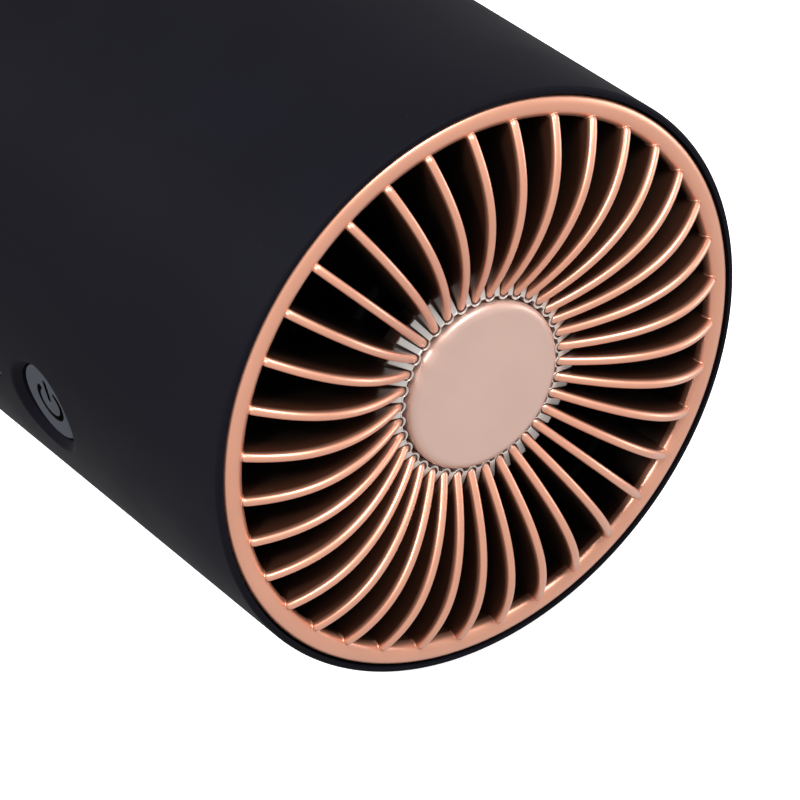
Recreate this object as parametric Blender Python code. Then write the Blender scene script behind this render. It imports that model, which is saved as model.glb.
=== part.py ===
"""Desk fan: a drum on two rubber foot strips, with a domed vane grille in front of a ducted impeller.

Metres, +Z up, front towards -Y. The drum lies along Y. A depth is a distance behind the rim plane of the
front grille, along +Y, and an angle is clockwise from straight up as seen from the front.
"""
import math

import bmesh
import bpy
from mathutils import Matrix, Vector

mm = 0.001

# overall sizes
drum_radius = 52.0 * mm
drum_length = 150.0 * mm
drum_wall = 2.2 * mm
ground_gap = 2.5 * mm  # from the drum's lowest line down to the surface that it stands on
gap = 0.3 * mm  # between pieces that touch
running_gap = 0.08 * mm  # shaft to bearing
thread_gap = 0.12 * mm  # screw to its hole

# shell
edge_radial = 0.7 * mm
edge_axial = 0.8 * mm
rim_seat_wall = 1.1 * mm  # wall left around the grille's rim and around the rear cover
rim_seat_depth = 8.0 * mm
cover_seat_depth = 4.0 * mm
frame_rib_width = 5.3 * mm
frame_rib_thickness = 2.0 * mm

# front grille
vane_count = 36
vane_start = math.radians(5.8)
vane_thickness = 1.5 * mm
vane_crown = 4.9 * mm  # how far the vanes dome out in front of the rim plane
vane_crown_radius = 34.3 * mm
vane_root = 15.6 * mm  # where the vanes start
vane_dip = 1.3 * mm  # how far behind the rim plane they start
grille_depth = 12.5 * mm
rim_width = 3.7 * mm
rim_crest = 0.3 * mm
hub_ring_radius = 20.2 * mm
hub_ring_inner = 15.2 * mm
hub_ring_front = 1.1 * mm  # depth of the ring's inner edge
hub_ring_edge = 2.3 * mm  # depth of its outer edge
hub_web_depth = 4.0 * mm
hub_web_thickness = 1.6 * mm
cap_radius = 14.9 * mm
cap_front = -0.15 * mm  # depth of the cap's face: just proud of the rim plane
cap_edge = 0.8 * mm
cap_pin_radius = 2.5 * mm
seal_thickness = 0.5 * mm
seal_width = 1.6 * mm

# fan frame
duct_wall = 1.5 * mm
duct_length = 24.4 * mm
duct_flange_thickness = 2.0 * mm
duct_flange_width = 2.5 * mm
frame_boss_radius = 1.9 * mm
frame_screw_count = 3
strut_count = 5
strut_width = 3.0 * mm
strut_depth = 5.0 * mm
motor_seat_thickness = 2.0 * mm
motor_seat_overlap = 1.5 * mm  # how far a strut runs over the motor seat
bearing_tube_wall = 1.4 * mm

# rotor and motor
blade_count = 7
blade_thickness = 1.6 * mm
blade_tip_gap = 0.9 * mm
blade_root_pitch = math.radians(48)
blade_tip_pitch = math.radians(24)
blade_depth = 12.5 * mm
impeller_hub_radius = 16.5 * mm
impeller_hub_wall = 2.0 * mm
impeller_front_gap = 4.0 * mm  # behind the vanes
impeller_hub_depth = 15.0 * mm
impeller_boss_radius = 3.2 * mm
impeller_boss_depth = 2.0 * mm
rotor_cup_wall = 0.8 * mm
magnet_thickness = 1.2 * mm
air_gap = 0.6 * mm
shaft_radius = 1.2 * mm
bearing_radius = 2.9 * mm
bearing_length = 3.0 * mm
clip_radius = 2.5 * mm
clip_thickness = 0.6 * mm
pole_count = 6
pole_neck = 2.2 * mm
stator_length = 7.0 * mm
motor_board_thickness = 1.0 * mm
motor_board_margin = 1.0 * mm  # to the inner ends of the struts

# button and status light
button_setback = 2.7 * mm  # of the button's housing behind the rib
button_angle = math.radians(-104)
button_radius = 7.15 * mm
button_sink = 1.7 * mm  # face below the drum's surface
button_thickness = 3.0 * mm
button_flange_width = 1.6 * mm
button_flange_thickness = 1.2 * mm
button_travel = 0.5 * mm
recess_gap = 0.3 * mm  # around the button, in the shell
recess_flare = 1.35 * mm  # width and depth of the slope round the recess
holder_gap = 0.8 * mm  # around the button's flange
holder_wall = 1.6 * mm
holder_floor = 2.0 * mm
switch_size = 6.0 * mm
switch_height = 3.0 * mm
plunger_radius = 1.6 * mm
plunger_length = 2.7 * mm
switch_board_thickness = 1.2 * mm
light_distance = 15.1 * mm  # from the button's centre, towards the rear
light_length = 5.0 * mm
light_width = 1.2 * mm
light_flange = 0.9 * mm
led_height = 1.0 * mm

# electronics
board_width = 46.0 * mm
board_length = 40.0 * mm
board_thickness = 1.6 * mm
board_drop = 34.0 * mm  # underside of the control board, below the drum's axis
board_hole_inset = 4.5 * mm
post_radius = 2.4 * mm
socket_width = 9.0 * mm
socket_height = 3.2 * mm
socket_length = 8.0 * mm
chip_size = 9.0 * mm
chip_height = 1.2 * mm
capacitor_radius = 4.0 * mm
capacitor_height = 9.0 * mm
lead_radius = 0.9 * mm

# rear cover
cover_rim_width = 8.2 * mm
cover_plate_thickness = 2.2 * mm
cover_dish = 1.0 * mm
cover_slot_count = 24
cover_slot_width = 3.2 * mm
cover_slot_inner = 15.5 * mm
cover_slot_margin = 2.0 * mm  # from the slots to the cover's raised rim
cover_blank_angle = math.radians(30)  # no slots this near to the power socket, each side
filter_thickness = 1.2 * mm
filter_gap = 0.3 * mm

# screws
screw_radius = 0.9 * mm
screw_head_radius = 1.8 * mm
screw_head_height = 1.2 * mm
frame_screw_length = 6.0 * mm
board_screw_length = 6.0 * mm
cover_screw_radius = 1.3 * mm
cover_screw_head_radius = 2.5 * mm
cover_screw_length = 12.0 * mm
cover_boss_radius = 3.0 * mm
cover_boss_length = 17.0 * mm

# feet
foot_centre = 14.0 * mm
foot_width = 7.0 * mm
foot_margin = 14.0 * mm  # from each end of the drum

# facets
drum_segments = 60
round_segments = 28
small_segments = 12
screw_segments = 10

# worked-out sizes
axis_height = drum_radius + ground_gap
front_y = -(drum_length - vane_crown) / 2
shell_inner = drum_radius - drum_wall
rim_radius = drum_radius - rim_seat_wall - gap
rim_inner = rim_radius - rim_width
rim_back_radius = shell_inner - gap
seal_front = grille_depth + gap
frame_front = seal_front + seal_thickness + gap
frame_back = frame_front + duct_length
rib_front = frame_back + gap
rib_back = rib_front + frame_rib_thickness
duct_outer = rim_back_radius - duct_flange_width
duct_radius = duct_outer - duct_wall
frame_boss_centre = shell_inner - gap - frame_boss_radius
seat_back = frame_back
seat_front = seat_back - motor_seat_thickness
impeller_front = grille_depth + impeller_front_gap
impeller_back = impeller_front + impeller_hub_depth
impeller_cavity = impeller_hub_radius - impeller_hub_wall
rotor_cup_radius = impeller_cavity - gap
rotor_cup_front = impeller_front + impeller_hub_wall + gap
motor_seat_radius = impeller_cavity + 0.5 * mm
strut_root = motor_seat_radius - motor_seat_overlap
magnet_radius = rotor_cup_radius - rotor_cup_wall - gap
stator_radius = magnet_radius - magnet_thickness - air_gap
bearing_tube_inner = bearing_radius + gap
bearing_tube_outer = bearing_tube_inner + bearing_tube_wall
bearing_tube_front = rotor_cup_front + rotor_cup_wall + gap + impeller_boss_depth
clip_front = seat_back + gap
shaft_back = clip_front + clip_thickness + 1.0 * mm
button_face = drum_radius - button_sink
button_bottom = button_face - button_thickness
button_flange_radius = button_radius + button_flange_width
plunger_top = button_bottom - gap
switch_top = plunger_top - 1.7 * mm
switch_board_top = switch_top - switch_height - gap
recess_radius = button_radius + recess_gap
holder_inside_radius = button_flange_radius + holder_gap
holder_radius = holder_inside_radius + holder_wall
holder_top = math.sqrt(shell_inner**2 - holder_radius**2) - gap
button_depth = rib_back + holder_radius + button_setback
board_back = drum_length - cover_seat_depth - 6.0 * mm
board_front = board_back - board_length
board_top = board_thickness - board_drop
post_x = board_width / 2 - board_hole_inset
cover_front = drum_length - cover_seat_depth + gap
cover_radius = rim_radius
cover_screw_centre = cover_radius - cover_rim_width / 2


def scene_cleared():
    for item in list(bpy.data.objects):
        bpy.data.objects.remove(item, do_unlink=True)


def material(name, colour, roughness, metallic=0.0):
    made = bpy.data.materials.new(name)
    made.use_nodes = True
    shader = made.node_tree.nodes["Principled BSDF"]
    shader.inputs["Base Color"].default_value = (*colour, 1.0)
    shader.inputs["Roughness"].default_value = roughness
    shader.inputs["Metallic"].default_value = metallic
    made.diffuse_color = (*colour, 1.0)
    return made


def empty(name, location, rotation=(0, 0, 0), parent=None):
    made = bpy.data.objects.new(name, None)
    bpy.context.scene.collection.objects.link(made)
    made.location = location
    made.rotation_euler = rotation
    made.parent = parent
    return made


def finished(mesh_data, name, parent, look, location=(0, 0, 0), smooth=True):
    """Turns a bmesh into a linked object with its normals outwards."""
    bmesh.ops.recalc_face_normals(mesh_data, faces=mesh_data.faces)
    mesh = bpy.data.meshes.new(name)
    mesh_data.to_mesh(mesh)
    mesh_data.free()
    if smooth:
        mesh.shade_smooth()
        mesh.set_sharp_from_angle(angle=math.radians(35))
    made = bpy.data.objects.new(name, mesh)
    bpy.context.scene.collection.objects.link(made)
    made.parent = parent
    made.location = location
    if look is not None:
        mesh.materials.append(look)
    return made


def turned(mesh_data, profile, segments, centre=(0, 0, 0)):
    """Revolves a closed (radius, depth) profile about the Y axis. A radius of 0 is a pole."""
    rings = []
    for radius, depth in profile:
        if radius == 0:
            rings.append([mesh_data.verts.new((centre[0], centre[1] + depth, centre[2]))])
            continue
        ring = []
        for step in range(segments):
            angle = 2 * math.pi * step / segments
            x = centre[0] + radius * math.sin(angle)
            z = centre[2] + radius * math.cos(angle)
            ring.append(mesh_data.verts.new((x, centre[1] + depth, z)))
        rings.append(ring)
    for index, ring in enumerate(rings):
        following = rings[(index + 1) % len(rings)]
        if len(ring) == 1 and len(following) == 1:
            continue
        for step in range(segments):
            after = (step + 1) % segments
            if len(ring) == 1:
                mesh_data.faces.new((ring[0], following[step], following[after]))
            elif len(following) == 1:
                mesh_data.faces.new((ring[step], following[0], ring[after]))
            else:
                mesh_data.faces.new((ring[step], following[step], following[after], ring[after]))


def prism(mesh_data, outline, near, far, place):
    """A straight prism: place(u, v, w) gives the point of outline (u, v) at height w."""
    ends = [[mesh_data.verts.new(place(u, v, w)) for u, v in outline] for w in (near, far)]
    mesh_data.faces.new(ends[0])
    mesh_data.faces.new(ends[1])
    for index in range(len(outline)):
        after = (index + 1) % len(outline)
        mesh_data.faces.new((ends[0][index], ends[0][after], ends[1][after], ends[1][index]))


def stacked(mesh_data, rings, segments):
    """A round body along Z, closed at both ends, from (radius, height) rings."""
    loops = []
    for radius, height in rings:
        loops.append([mesh_data.verts.new((u, v, height)) for u, v in circle(radius, segments)])
    mesh_data.faces.new(loops[0])
    mesh_data.faces.new(loops[-1])
    for upper, lower in zip(loops, loops[1:]):
        for step in range(segments):
            after = (step + 1) % segments
            mesh_data.faces.new((upper[step], upper[after], lower[after], lower[step]))


def circle(radius, segments, centre=(0, 0)):
    turns = [2 * math.pi * (step + 0.5) / segments for step in range(segments)]
    return [(centre[0] + radius * math.cos(turn), centre[1] + radius * math.sin(turn)) for turn in turns]


def stadium(radius, length, segments):
    """A slot outline along v, from a round end at v = 0 to a round end at v = length."""
    outline = []
    for step in range(segments // 2 + 1):
        turn = math.pi * step / (segments // 2)
        outline.append((radius * math.cos(turn), length + radius * math.sin(turn)))
    for step in range(segments // 2 + 1):
        turn = math.pi + math.pi * step / (segments // 2)
        outline.append((radius * math.cos(turn), radius * math.sin(turn)))
    return outline


def rectangle(width, height, centre=(0, 0)):
    half_u, half_v = width / 2, height / 2
    corners = ((-half_u, -half_v), (half_u, -half_v), (half_u, half_v), (-half_u, half_v))
    return [(centre[0] + u, centre[1] + v) for u, v in corners]


def along_depth(angle=0.0):
    """Outline u is across, v is outwards at this angle around the drum, and w is depth."""
    sine, cosine = math.sin(angle), math.cos(angle)
    return lambda u, v, w: (u * cosine + v * sine, w, v * cosine - u * sine)


def upright(u, v, w):
    """Outline u is across, v is depth, and w is height."""
    return (u, v, w)


def boolean(target, tool, operation):
    """Applies one EXACT Boolean with a hidden tool object."""
    tool.hide_render = True
    tool.display_type = "WIRE"
    modifier = target.modifiers.new(operation.lower(), "BOOLEAN")
    modifier.operation = operation
    modifier.solver = "EXACT"
    modifier.object = tool


def fan_angles(count, offset=0.0):
    return [offset + 2 * math.pi * step / count for step in range(count)]


def around(radius, angle):
    return (radius * math.sin(angle), radius * math.cos(angle))


frame_screw_angles = fan_angles(frame_screw_count, math.radians(60))
cover_screw_angles = fan_angles(4, math.radians(45))


def vane_height(radius):
    """How far a vane's front edge stands before the rim plane, at a radius.

    From its root it climbs like a sine to the crown, and from there falls as a parabola to the rim.
    """
    if radius <= vane_crown_radius:
        share = (radius - vane_root) / (vane_crown_radius - vane_root)
        return (vane_crown + vane_dip) * math.sin(math.pi / 2 * share) ** 0.92 - vane_dip
    fall = (radius - vane_crown_radius) / (1.12 * (rim_inner - vane_crown_radius))
    return vane_crown * (1 - fall * fall)


def shell_profile():
    """Outer wall with rounded ends, then the inside with both seats and the rib behind the fan frame."""
    points = []
    seat = drum_radius - rim_seat_wall
    for step in range(4):
        turn = math.pi / 2 * step / 3
        radius = drum_radius - edge_radial * (1 - math.sin(turn))
        points.append((radius, edge_axial * (1 - math.cos(turn))))
    for step in range(4):
        turn = math.pi / 2 * step / 3
        radius = drum_radius - edge_radial * (1 - math.cos(turn))
        points.append((radius, drum_length - edge_axial * (1 - math.sin(turn))))
    points += [
        (seat, drum_length),
        (seat, drum_length - cover_seat_depth),
        (shell_inner, drum_length - cover_seat_depth),
        (shell_inner, rib_back),
        (shell_inner - frame_rib_width, rib_back),
        (shell_inner - frame_rib_width, rib_front),
        (shell_inner, rib_front),
        (shell_inner, rim_seat_depth),
        (seat, rim_seat_depth),
        (seat, 0.0),
    ]
    return points


def board_post_points():
    depths = (board_front + board_hole_inset, board_back - board_hole_inset)
    return [(side * post_x, depth) for side in (-1, 1) for depth in depths]


def make_shell(axis, button_axis, look):
    body = bmesh.new()
    turned(body, shell_profile(), drum_segments)
    shell = finished(body, "shell", axis, look)

    added = bmesh.new()
    boss_back = drum_length - cover_seat_depth
    straight = drum_radius - rim_seat_wall / 2 - cover_screw_centre - cover_boss_radius
    for angle in cover_screw_angles:
        outline = [(u, v + cover_screw_centre) for u, v in stadium(cover_boss_radius, straight, small_segments)]
        reach = math.sqrt((drum_radius - drum_wall / 2) ** 2 - cover_boss_radius**2)
        outline = [(u, min(v, reach)) for u, v in outline]
        kept = [point for index, point in enumerate(outline) if point != outline[index - 1]]
        prism(added, kept, boss_back - cover_boss_length, boss_back, along_depth(angle))
    low_inner = math.sqrt(shell_inner**2 - (post_x - post_radius) ** 2)
    low_outer = math.sqrt(drum_radius**2 - (post_x + post_radius) ** 2)
    post_foot = -(low_inner + low_outer) / 2
    for x, depth in board_post_points():
        prism(added, circle(post_radius, small_segments, (x, depth)), post_foot, -board_drop - gap, upright)
    boolean(shell, finished(added, "shell_posts", axis, None), "UNION")

    removed = bmesh.new()
    hole = screw_radius + thread_gap
    for angle in frame_screw_angles:
        outline = circle(hole + gap, small_segments, (0, frame_boss_centre))
        prism(removed, outline, rib_front - gap, rib_back + gap, along_depth(angle))
    for angle in cover_screw_angles:
        outline = circle(cover_screw_radius + thread_gap, small_segments, (0, cover_screw_centre))
        prism(removed, outline, boss_back - cover_screw_length, boss_back + gap, along_depth(angle))
    for x, depth in board_post_points():
        outline = circle(hole, small_segments, (x, depth))
        prism(removed, outline, -board_drop - board_screw_length, -board_drop, upright)
    boolean(shell, finished(removed, "shell_holes", axis, None), "DIFFERENCE")

    side = bmesh.new()
    inside = math.sqrt(shell_inner**2 - recess_radius**2) - 2 * mm
    slope = [(recess_radius + recess_flare + gap, drum_radius + gap), (recess_radius, drum_radius - recess_flare)]
    stacked(side, [*slope, (recess_radius, inside)], round_segments)
    slot_start = light_distance - light_length / 2
    slot = stadium(light_width / 2, light_length - light_width, small_segments)
    slot = [(u, v + slot_start + light_width / 2) for u, v in slot]
    prism(side, slot, inside, drum_radius + gap, upright)
    boolean(shell, finished(side, "shell_side_holes", button_axis, None), "DIFFERENCE")
    return shell


def rim_profile():
    """The rim's section: a low rounded crest in front, a straight wall inside, a step for the shell's seat."""
    points = []
    half = rim_width / 2
    for step in range(6):
        turn = math.pi * step / 5
        rise = rim_crest + 1.3 * mm if turn > math.pi / 2 else rim_crest + 0.4 * mm
        depth = -rim_crest + rise * (1 - math.sin(turn))
        points.append((rim_radius - half + half * math.cos(turn), depth))
    points += [
        (rim_inner, grille_depth),
        (rim_back_radius, grille_depth),
        (rim_back_radius, rim_seat_depth - gap),
        (rim_radius, rim_seat_depth - gap),
    ]
    return points


def vane_outline():
    """A vane seen from its side as (radius, depth): domed front edge, straight back edge."""
    start = vane_root
    stop = rim_inner + rim_width / 4
    steps = 5
    front = []
    for step in range(steps):
        radius = start + (vane_crown_radius - start) * step / (steps - 1)
        front.append((radius, vane_height(radius)))
    for step in range(1, 4):
        radius = vane_crown_radius + (rim_inner - vane_crown_radius) * step / 3
        front.append((radius, vane_height(radius)))
    front.append((stop, vane_height(rim_inner) - 0.3 * mm))
    outline = [(radius, -height) for radius, height in front]
    return outline + [(stop, grille_depth - gap), (start, grille_depth - gap)]


def make_front_grille(axis, look):
    body = bmesh.new()
    turned(body, rim_profile(), drum_segments)
    grille = finished(body, "front_grille", axis, look)

    hub = bmesh.new()
    web_back = hub_web_depth + hub_web_thickness
    hole = cap_pin_radius + gap
    profile = [(hub_ring_radius, hub_ring_edge), (hub_ring_inner, hub_ring_front)]
    profile += [(hub_ring_inner, hub_web_depth), (hole, hub_web_depth), (hole, web_back)]
    profile += [(hub_ring_radius, web_back)]
    turned(hub, profile, round_segments)
    hub_tool = finished(hub, "grille_hub", axis, None)

    vanes = bmesh.new()
    half = vane_thickness / 2
    outline = vane_outline()
    for angle in fan_angles(vane_count, vane_start):
        place = along_depth(angle)
        prism(vanes, outline, -half, half, lambda u, v, w, place=place: place(w, u, v))
    boolean(grille, finished(vanes, "grille_vanes", axis, None), "UNION")
    boolean(grille, hub_tool, "UNION")
    return grille


def make_hub_cap(axis, look):
    body = bmesh.new()
    back = hub_web_depth - gap
    pin_back = hub_web_depth + hub_web_thickness + 1.0 * mm
    profile = [(0, cap_front), (cap_radius - cap_edge, cap_front)]
    profile += [(cap_radius - cap_edge * 0.3, cap_front + cap_edge * 0.3), (cap_radius, cap_front + cap_edge)]
    profile += [(cap_radius, back), (cap_pin_radius, back), (cap_pin_radius, pin_back), (0, pin_back)]
    turned(body, profile, drum_segments)
    return finished(body, "hub_cap", axis, look)


def ring_piece(name, inner, outer, front, back, segments, parent, look, location=(0, 0, 0)):
    body = bmesh.new()
    turned(body, [(inner, front), (outer, front), (outer, back), (inner, back)], segments)
    return finished(body, name, parent, look, location)


def make_fan_frame(axis, look):
    body = bmesh.new()
    flange_back = frame_front + duct_flange_thickness
    profile = [(duct_radius, frame_front), (rim_back_radius, frame_front), (rim_back_radius, flange_back)]
    profile += [(duct_outer, flange_back), (duct_outer, frame_back), (duct_radius, frame_back)]
    turned(body, profile, drum_segments)
    frame = finished(body, "fan_frame", axis, look)

    seat = bmesh.new()
    bore = shaft_radius + gap
    profile = [(bearing_tube_inner, bearing_tube_front), (bearing_tube_outer, bearing_tube_front)]
    profile += [(bearing_tube_outer, seat_front), (motor_seat_radius, seat_front), (motor_seat_radius, seat_back)]
    profile += [(bore, seat_back), (bore, seat_front), (bearing_tube_inner, seat_front)]
    turned(seat, profile, round_segments)
    boolean(frame, finished(seat, "frame_seat", axis, None), "UNION")

    added = bmesh.new()
    reach = duct_radius + duct_wall / 2 - strut_root
    middle = strut_root + reach / 2
    for angle in fan_angles(strut_count):
        outline = rectangle(strut_width, reach, (0, middle))
        prism(added, outline, seat_back - strut_depth, seat_back - gap, along_depth(angle))
    boolean(frame, finished(added, "frame_struts", axis, None), "UNION")

    bosses = bmesh.new()
    for angle in frame_screw_angles:
        outline = circle(frame_boss_radius, small_segments, (0, frame_boss_centre))
        prism(bosses, outline, frame_back - frame_screw_length, frame_back - gap / 2, along_depth(angle))
    boolean(frame, finished(bosses, "frame_bosses", axis, None), "UNION")

    holes = bmesh.new()
    for angle in frame_screw_angles:
        outline = circle(screw_radius + thread_gap, small_segments, (0, frame_boss_centre))
        prism(holes, outline, frame_back - frame_screw_length + 1 * mm, frame_back + gap, along_depth(angle))
    boolean(frame, finished(holes, "frame_holes", axis, None), "DIFFERENCE")
    return frame


def blade_points(share, chord_share, side):
    """A point of a blade: share runs from hub to tip, chord_share from its front edge to its back edge."""
    root = impeller_hub_radius - impeller_hub_wall / 2
    tip = duct_radius - blade_tip_gap
    radius = root + (tip - root) * share
    pitch = blade_root_pitch + (blade_tip_pitch - blade_root_pitch) * share
    run = blade_depth * (0.72 + 0.28 * share) / math.tan(pitch)
    bow = 1.6 * mm * math.sin(math.pi * chord_share)
    half = blade_thickness / 2 * (0.35 + 0.65 * math.sin(math.pi * (0.15 + 0.7 * chord_share)))
    depth = (chord_share - 0.5) * blade_depth * (0.72 + 0.28 * share)
    sweep = (chord_share - 0.5) * run / radius * (0.45 + 0.25 * share) + 0.25 * share
    depth += bow * math.cos(pitch) + side * half
    return radius, sweep, depth


def make_impeller(spin_axis, look):
    """Hub cup, front boss and blades. Depths here are measured from the spin axis' empty."""
    body = bmesh.new()
    front, back = 0.0, impeller_hub_depth
    inner_front = impeller_hub_wall
    boss_back = inner_front + gap + rotor_cup_wall + impeller_boss_depth - 2 * gap
    bore = shaft_radius + gap
    profile = [(0, front), (impeller_hub_radius - 2 * mm, front), (impeller_hub_radius - 0.6 * mm, front + 0.6 * mm)]
    profile += [(impeller_hub_radius, front + 2 * mm), (impeller_hub_radius, back), (impeller_cavity, back)]
    profile += [(impeller_cavity, inner_front), (impeller_boss_radius, inner_front)]
    profile += [(impeller_boss_radius, boss_back), (bore, boss_back), (bore, front + 1 * mm), (0, front + 1 * mm)]
    turned(body, profile, round_segments)
    impeller = finished(body, "impeller", spin_axis, look)

    blades = bmesh.new()
    stations, chords = 5, 5
    middle = impeller_hub_depth / 2
    for start in fan_angles(blade_count):
        grid = []
        for side in (-1, 1):
            for station in range(stations):
                row = []
                for chord in range(chords):
                    radius, sweep, depth = blade_points(station / (stations - 1), chord / (chords - 1), side)
                    x, z = around(radius, start + sweep)
                    row.append(blades.verts.new((x, middle + depth, z)))
                grid.append(row)
        below, above = grid[:stations], grid[stations:]
        for surface in (below, above):
            for station in range(stations - 1):
                for chord in range(chords - 1):
                    near, far = surface[station], surface[station + 1]
                    blades.faces.new((near[chord], near[chord + 1], far[chord + 1], far[chord]))
        for station in (0, stations - 1):
            for chord in range(chords - 1):
                low, high = below[station], above[station]
                blades.faces.new((low[chord], low[chord + 1], high[chord + 1], high[chord]))
        for chord in (0, chords - 1):
            for station in range(stations - 1):
                low, high = below[station], below[station + 1]
                blades.faces.new((low[chord], high[chord], above[station + 1][chord], above[station][chord]))
    boolean(impeller, finished(blades, "impeller_blades", spin_axis, None), "UNION")
    return impeller


def make_rotor(spin_axis, steel, magnet):
    body = bmesh.new()
    front = rotor_cup_front - impeller_front
    back = impeller_hub_depth
    inner = rotor_cup_radius - rotor_cup_wall
    hole = impeller_boss_radius + gap
    profile = [(hole, front), (rotor_cup_radius, front), (rotor_cup_radius, back), (inner, back)]
    profile += [(inner, front + rotor_cup_wall), (hole, front + rotor_cup_wall)]
    turned(body, profile, round_segments)
    finished(body, "rotor_cup", spin_axis, steel)
    magnet_back = back - 0.5 * mm
    magnet_front = magnet_back - stator_length - 2 * mm
    ring_piece(
        "magnet_ring", magnet_radius - magnet_thickness, magnet_radius, magnet_front, magnet_back,
        round_segments, spin_axis, magnet,
    )
    shaft = bmesh.new()
    shaft_front = 1 * mm + gap
    length = shaft_back - impeller_front
    turned(shaft, [(0, shaft_front), (shaft_radius, shaft_front), (shaft_radius, length), (0, length)], small_segments)
    finished(shaft, "motor_shaft", spin_axis, steel)
    clip = clip_front - impeller_front
    ring_piece(
        "shaft_clip", shaft_radius + running_gap, clip_radius, clip, clip + clip_thickness,
        small_segments, spin_axis, steel,
    )


def stator_outline():
    """The laminated core seen along the shaft: poles with wide faces on narrow necks."""
    inner = bearing_tube_outer + gap
    core = inner + 1.6 * mm
    outline = []
    step_angle = 2 * math.pi / pole_count
    face_half = step_angle * 0.40
    for pole in range(pole_count):
        middle = pole * step_angle
        neck_core = math.asin(pole_neck / 2 / core)
        shoe = stator_radius - 1.2 * mm
        neck_shoe = math.asin(pole_neck / 2 / shoe)
        outline.append(around(core, middle - neck_core))
        outline.append(around(shoe, middle - neck_shoe))
        outline.append(around(shoe, middle - face_half))
        for part in (-1, -0.33, 0.33, 1):
            outline.append(around(stator_radius, middle + face_half * part))
        outline.append(around(shoe, middle + face_half))
        outline.append(around(shoe, middle + neck_shoe))
        outline.append(around(core, middle + neck_core))
    return outline


def make_stator(axis, core_look, board_look, bearing_look):
    board_back = seat_front - gap
    board_front_depth = board_back - motor_board_thickness
    core_back = board_front_depth - gap
    core_front = core_back - stator_length
    body = bmesh.new()
    prism(body, stator_outline(), core_front, core_back, along_depth())
    core = finished(body, "stator_core", axis, core_look)
    bore = bmesh.new()
    inner = bearing_tube_outer + gap
    prism(bore, circle(inner, round_segments), core_front - gap, core_back + gap, along_depth())
    boolean(core, finished(bore, "stator_bore", axis, None), "DIFFERENCE")
    ring_piece(
        "motor_board", bearing_tube_outer + gap, strut_root - motor_board_margin, board_front_depth, board_back,
        round_segments, axis, board_look,
    )
    hole = shaft_radius + running_gap
    fronts = {"bearing_front": bearing_tube_front, "bearing_rear": seat_front - gap - bearing_length}
    for name, front in fronts.items():
        ring_piece(name, hole, bearing_radius, front, front + bearing_length, small_segments, axis, bearing_look)


def make_button(press_axis, button_axis, looks):
    """Button pieces. Their frame's Z points out of the drum through the button's centre."""
    cap = bmesh.new()
    top_edge = 0.4 * mm
    rings = [
        (button_radius - top_edge, button_face),
        (button_radius, button_face - top_edge),
        (button_radius, button_bottom + button_flange_thickness),
        (button_flange_radius, button_bottom + button_flange_thickness),
        (button_flange_radius, button_bottom),
    ]
    stacked(cap, rings, round_segments)
    finished(cap, "button_cap", press_axis, looks["button"])

    plunger = bmesh.new()
    prism(plunger, circle(plunger_radius, small_segments), plunger_top - plunger_length, plunger_top, upright)
    finished(plunger, "switch_plunger", press_axis, looks["white"])

    housing = bmesh.new()
    bottom = switch_top - switch_height
    prism(housing, rectangle(switch_size, switch_size), bottom, switch_top, upright)
    switch = finished(housing, "tact_switch", button_axis, looks["dark"], smooth=False)
    well = bmesh.new()
    well_floor = plunger_top - plunger_length - button_travel - 0.4 * mm
    prism(well, circle(plunger_radius + gap, small_segments), well_floor, switch_top + gap, upright)
    boolean(switch, finished(well, "switch_well", button_axis, None), "DIFFERENCE")

    board = bmesh.new()
    board_bottom = switch_board_top - switch_board_thickness
    outline = stadium(holder_inside_radius - gap, light_distance, round_segments)
    prism(board, outline, board_bottom, switch_board_top, upright)
    finished(board, "switch_board", button_axis, looks["board"], smooth=False)

    holder = bmesh.new()
    outline = stadium(holder_radius, light_distance, round_segments)
    floor_top = board_bottom - gap
    prism(holder, outline, floor_top - holder_floor, holder_top, upright)
    holder_piece = finished(holder, "button_holder", button_axis, looks["inside"])
    hollow = bmesh.new()
    outline = stadium(holder_inside_radius, light_distance, round_segments)
    prism(hollow, outline, floor_top, holder_top + gap, upright)
    boolean(holder_piece, finished(hollow, "holder_hollow", button_axis, None), "DIFFERENCE")

    led = bmesh.new()
    led_bottom = switch_board_top + gap
    led_top = led_bottom + led_height
    prism(led, rectangle(2.4 * mm, 3.0 * mm, (0, light_distance)), led_bottom, led_top, upright)
    finished(led, "status_light", button_axis, looks["white"], smooth=False)

    pipe = bmesh.new()
    pipe_half = light_width / 2 - gap / 2
    flange_top = shell_inner - light_flange
    outline = stadium(pipe_half, light_length - light_width, small_segments)
    start = light_distance - light_length / 2 + light_width / 2
    outline = [(u, v + start) for u, v in outline]
    prism(pipe, outline, led_top + gap, drum_radius - 0.2 * mm, upright)
    window = finished(pipe, "light_window", button_axis, looks["clear"])
    collar = bmesh.new()
    outline = [(u, v + start) for u, v in stadium(1.3 * mm, light_length - light_width, small_segments)]
    prism(collar, outline, flange_top - light_flange, flange_top + light_flange - gap, upright)
    boolean(window, finished(collar, "window_collar", button_axis, None), "UNION")


def screw(name, place, head_depth, length, radius, head_radius, head_height, parent, look):
    """A pan-head screw: place maps (u, v, w), and the shank runs from the head towards falling w."""
    body = bmesh.new()
    rings = [
        (head_radius * 0.85, head_depth + head_height),
        (head_radius, head_depth),
        (radius, head_depth),
        (radius, head_depth - length),
    ]
    loops = []
    for ring_radius, height in rings:
        points = circle(ring_radius, screw_segments)
        loops.append([body.verts.new(place(u, v, height)) for u, v in points])
    body.faces.new(loops[0])
    body.faces.new(loops[-1])
    for upper, lower in zip(loops, loops[1:]):
        for step in range(screw_segments):
            after = (step + 1) % screw_segments
            body.faces.new((upper[step], upper[after], lower[after], lower[step]))
    finished(body, name, parent, look)


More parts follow.
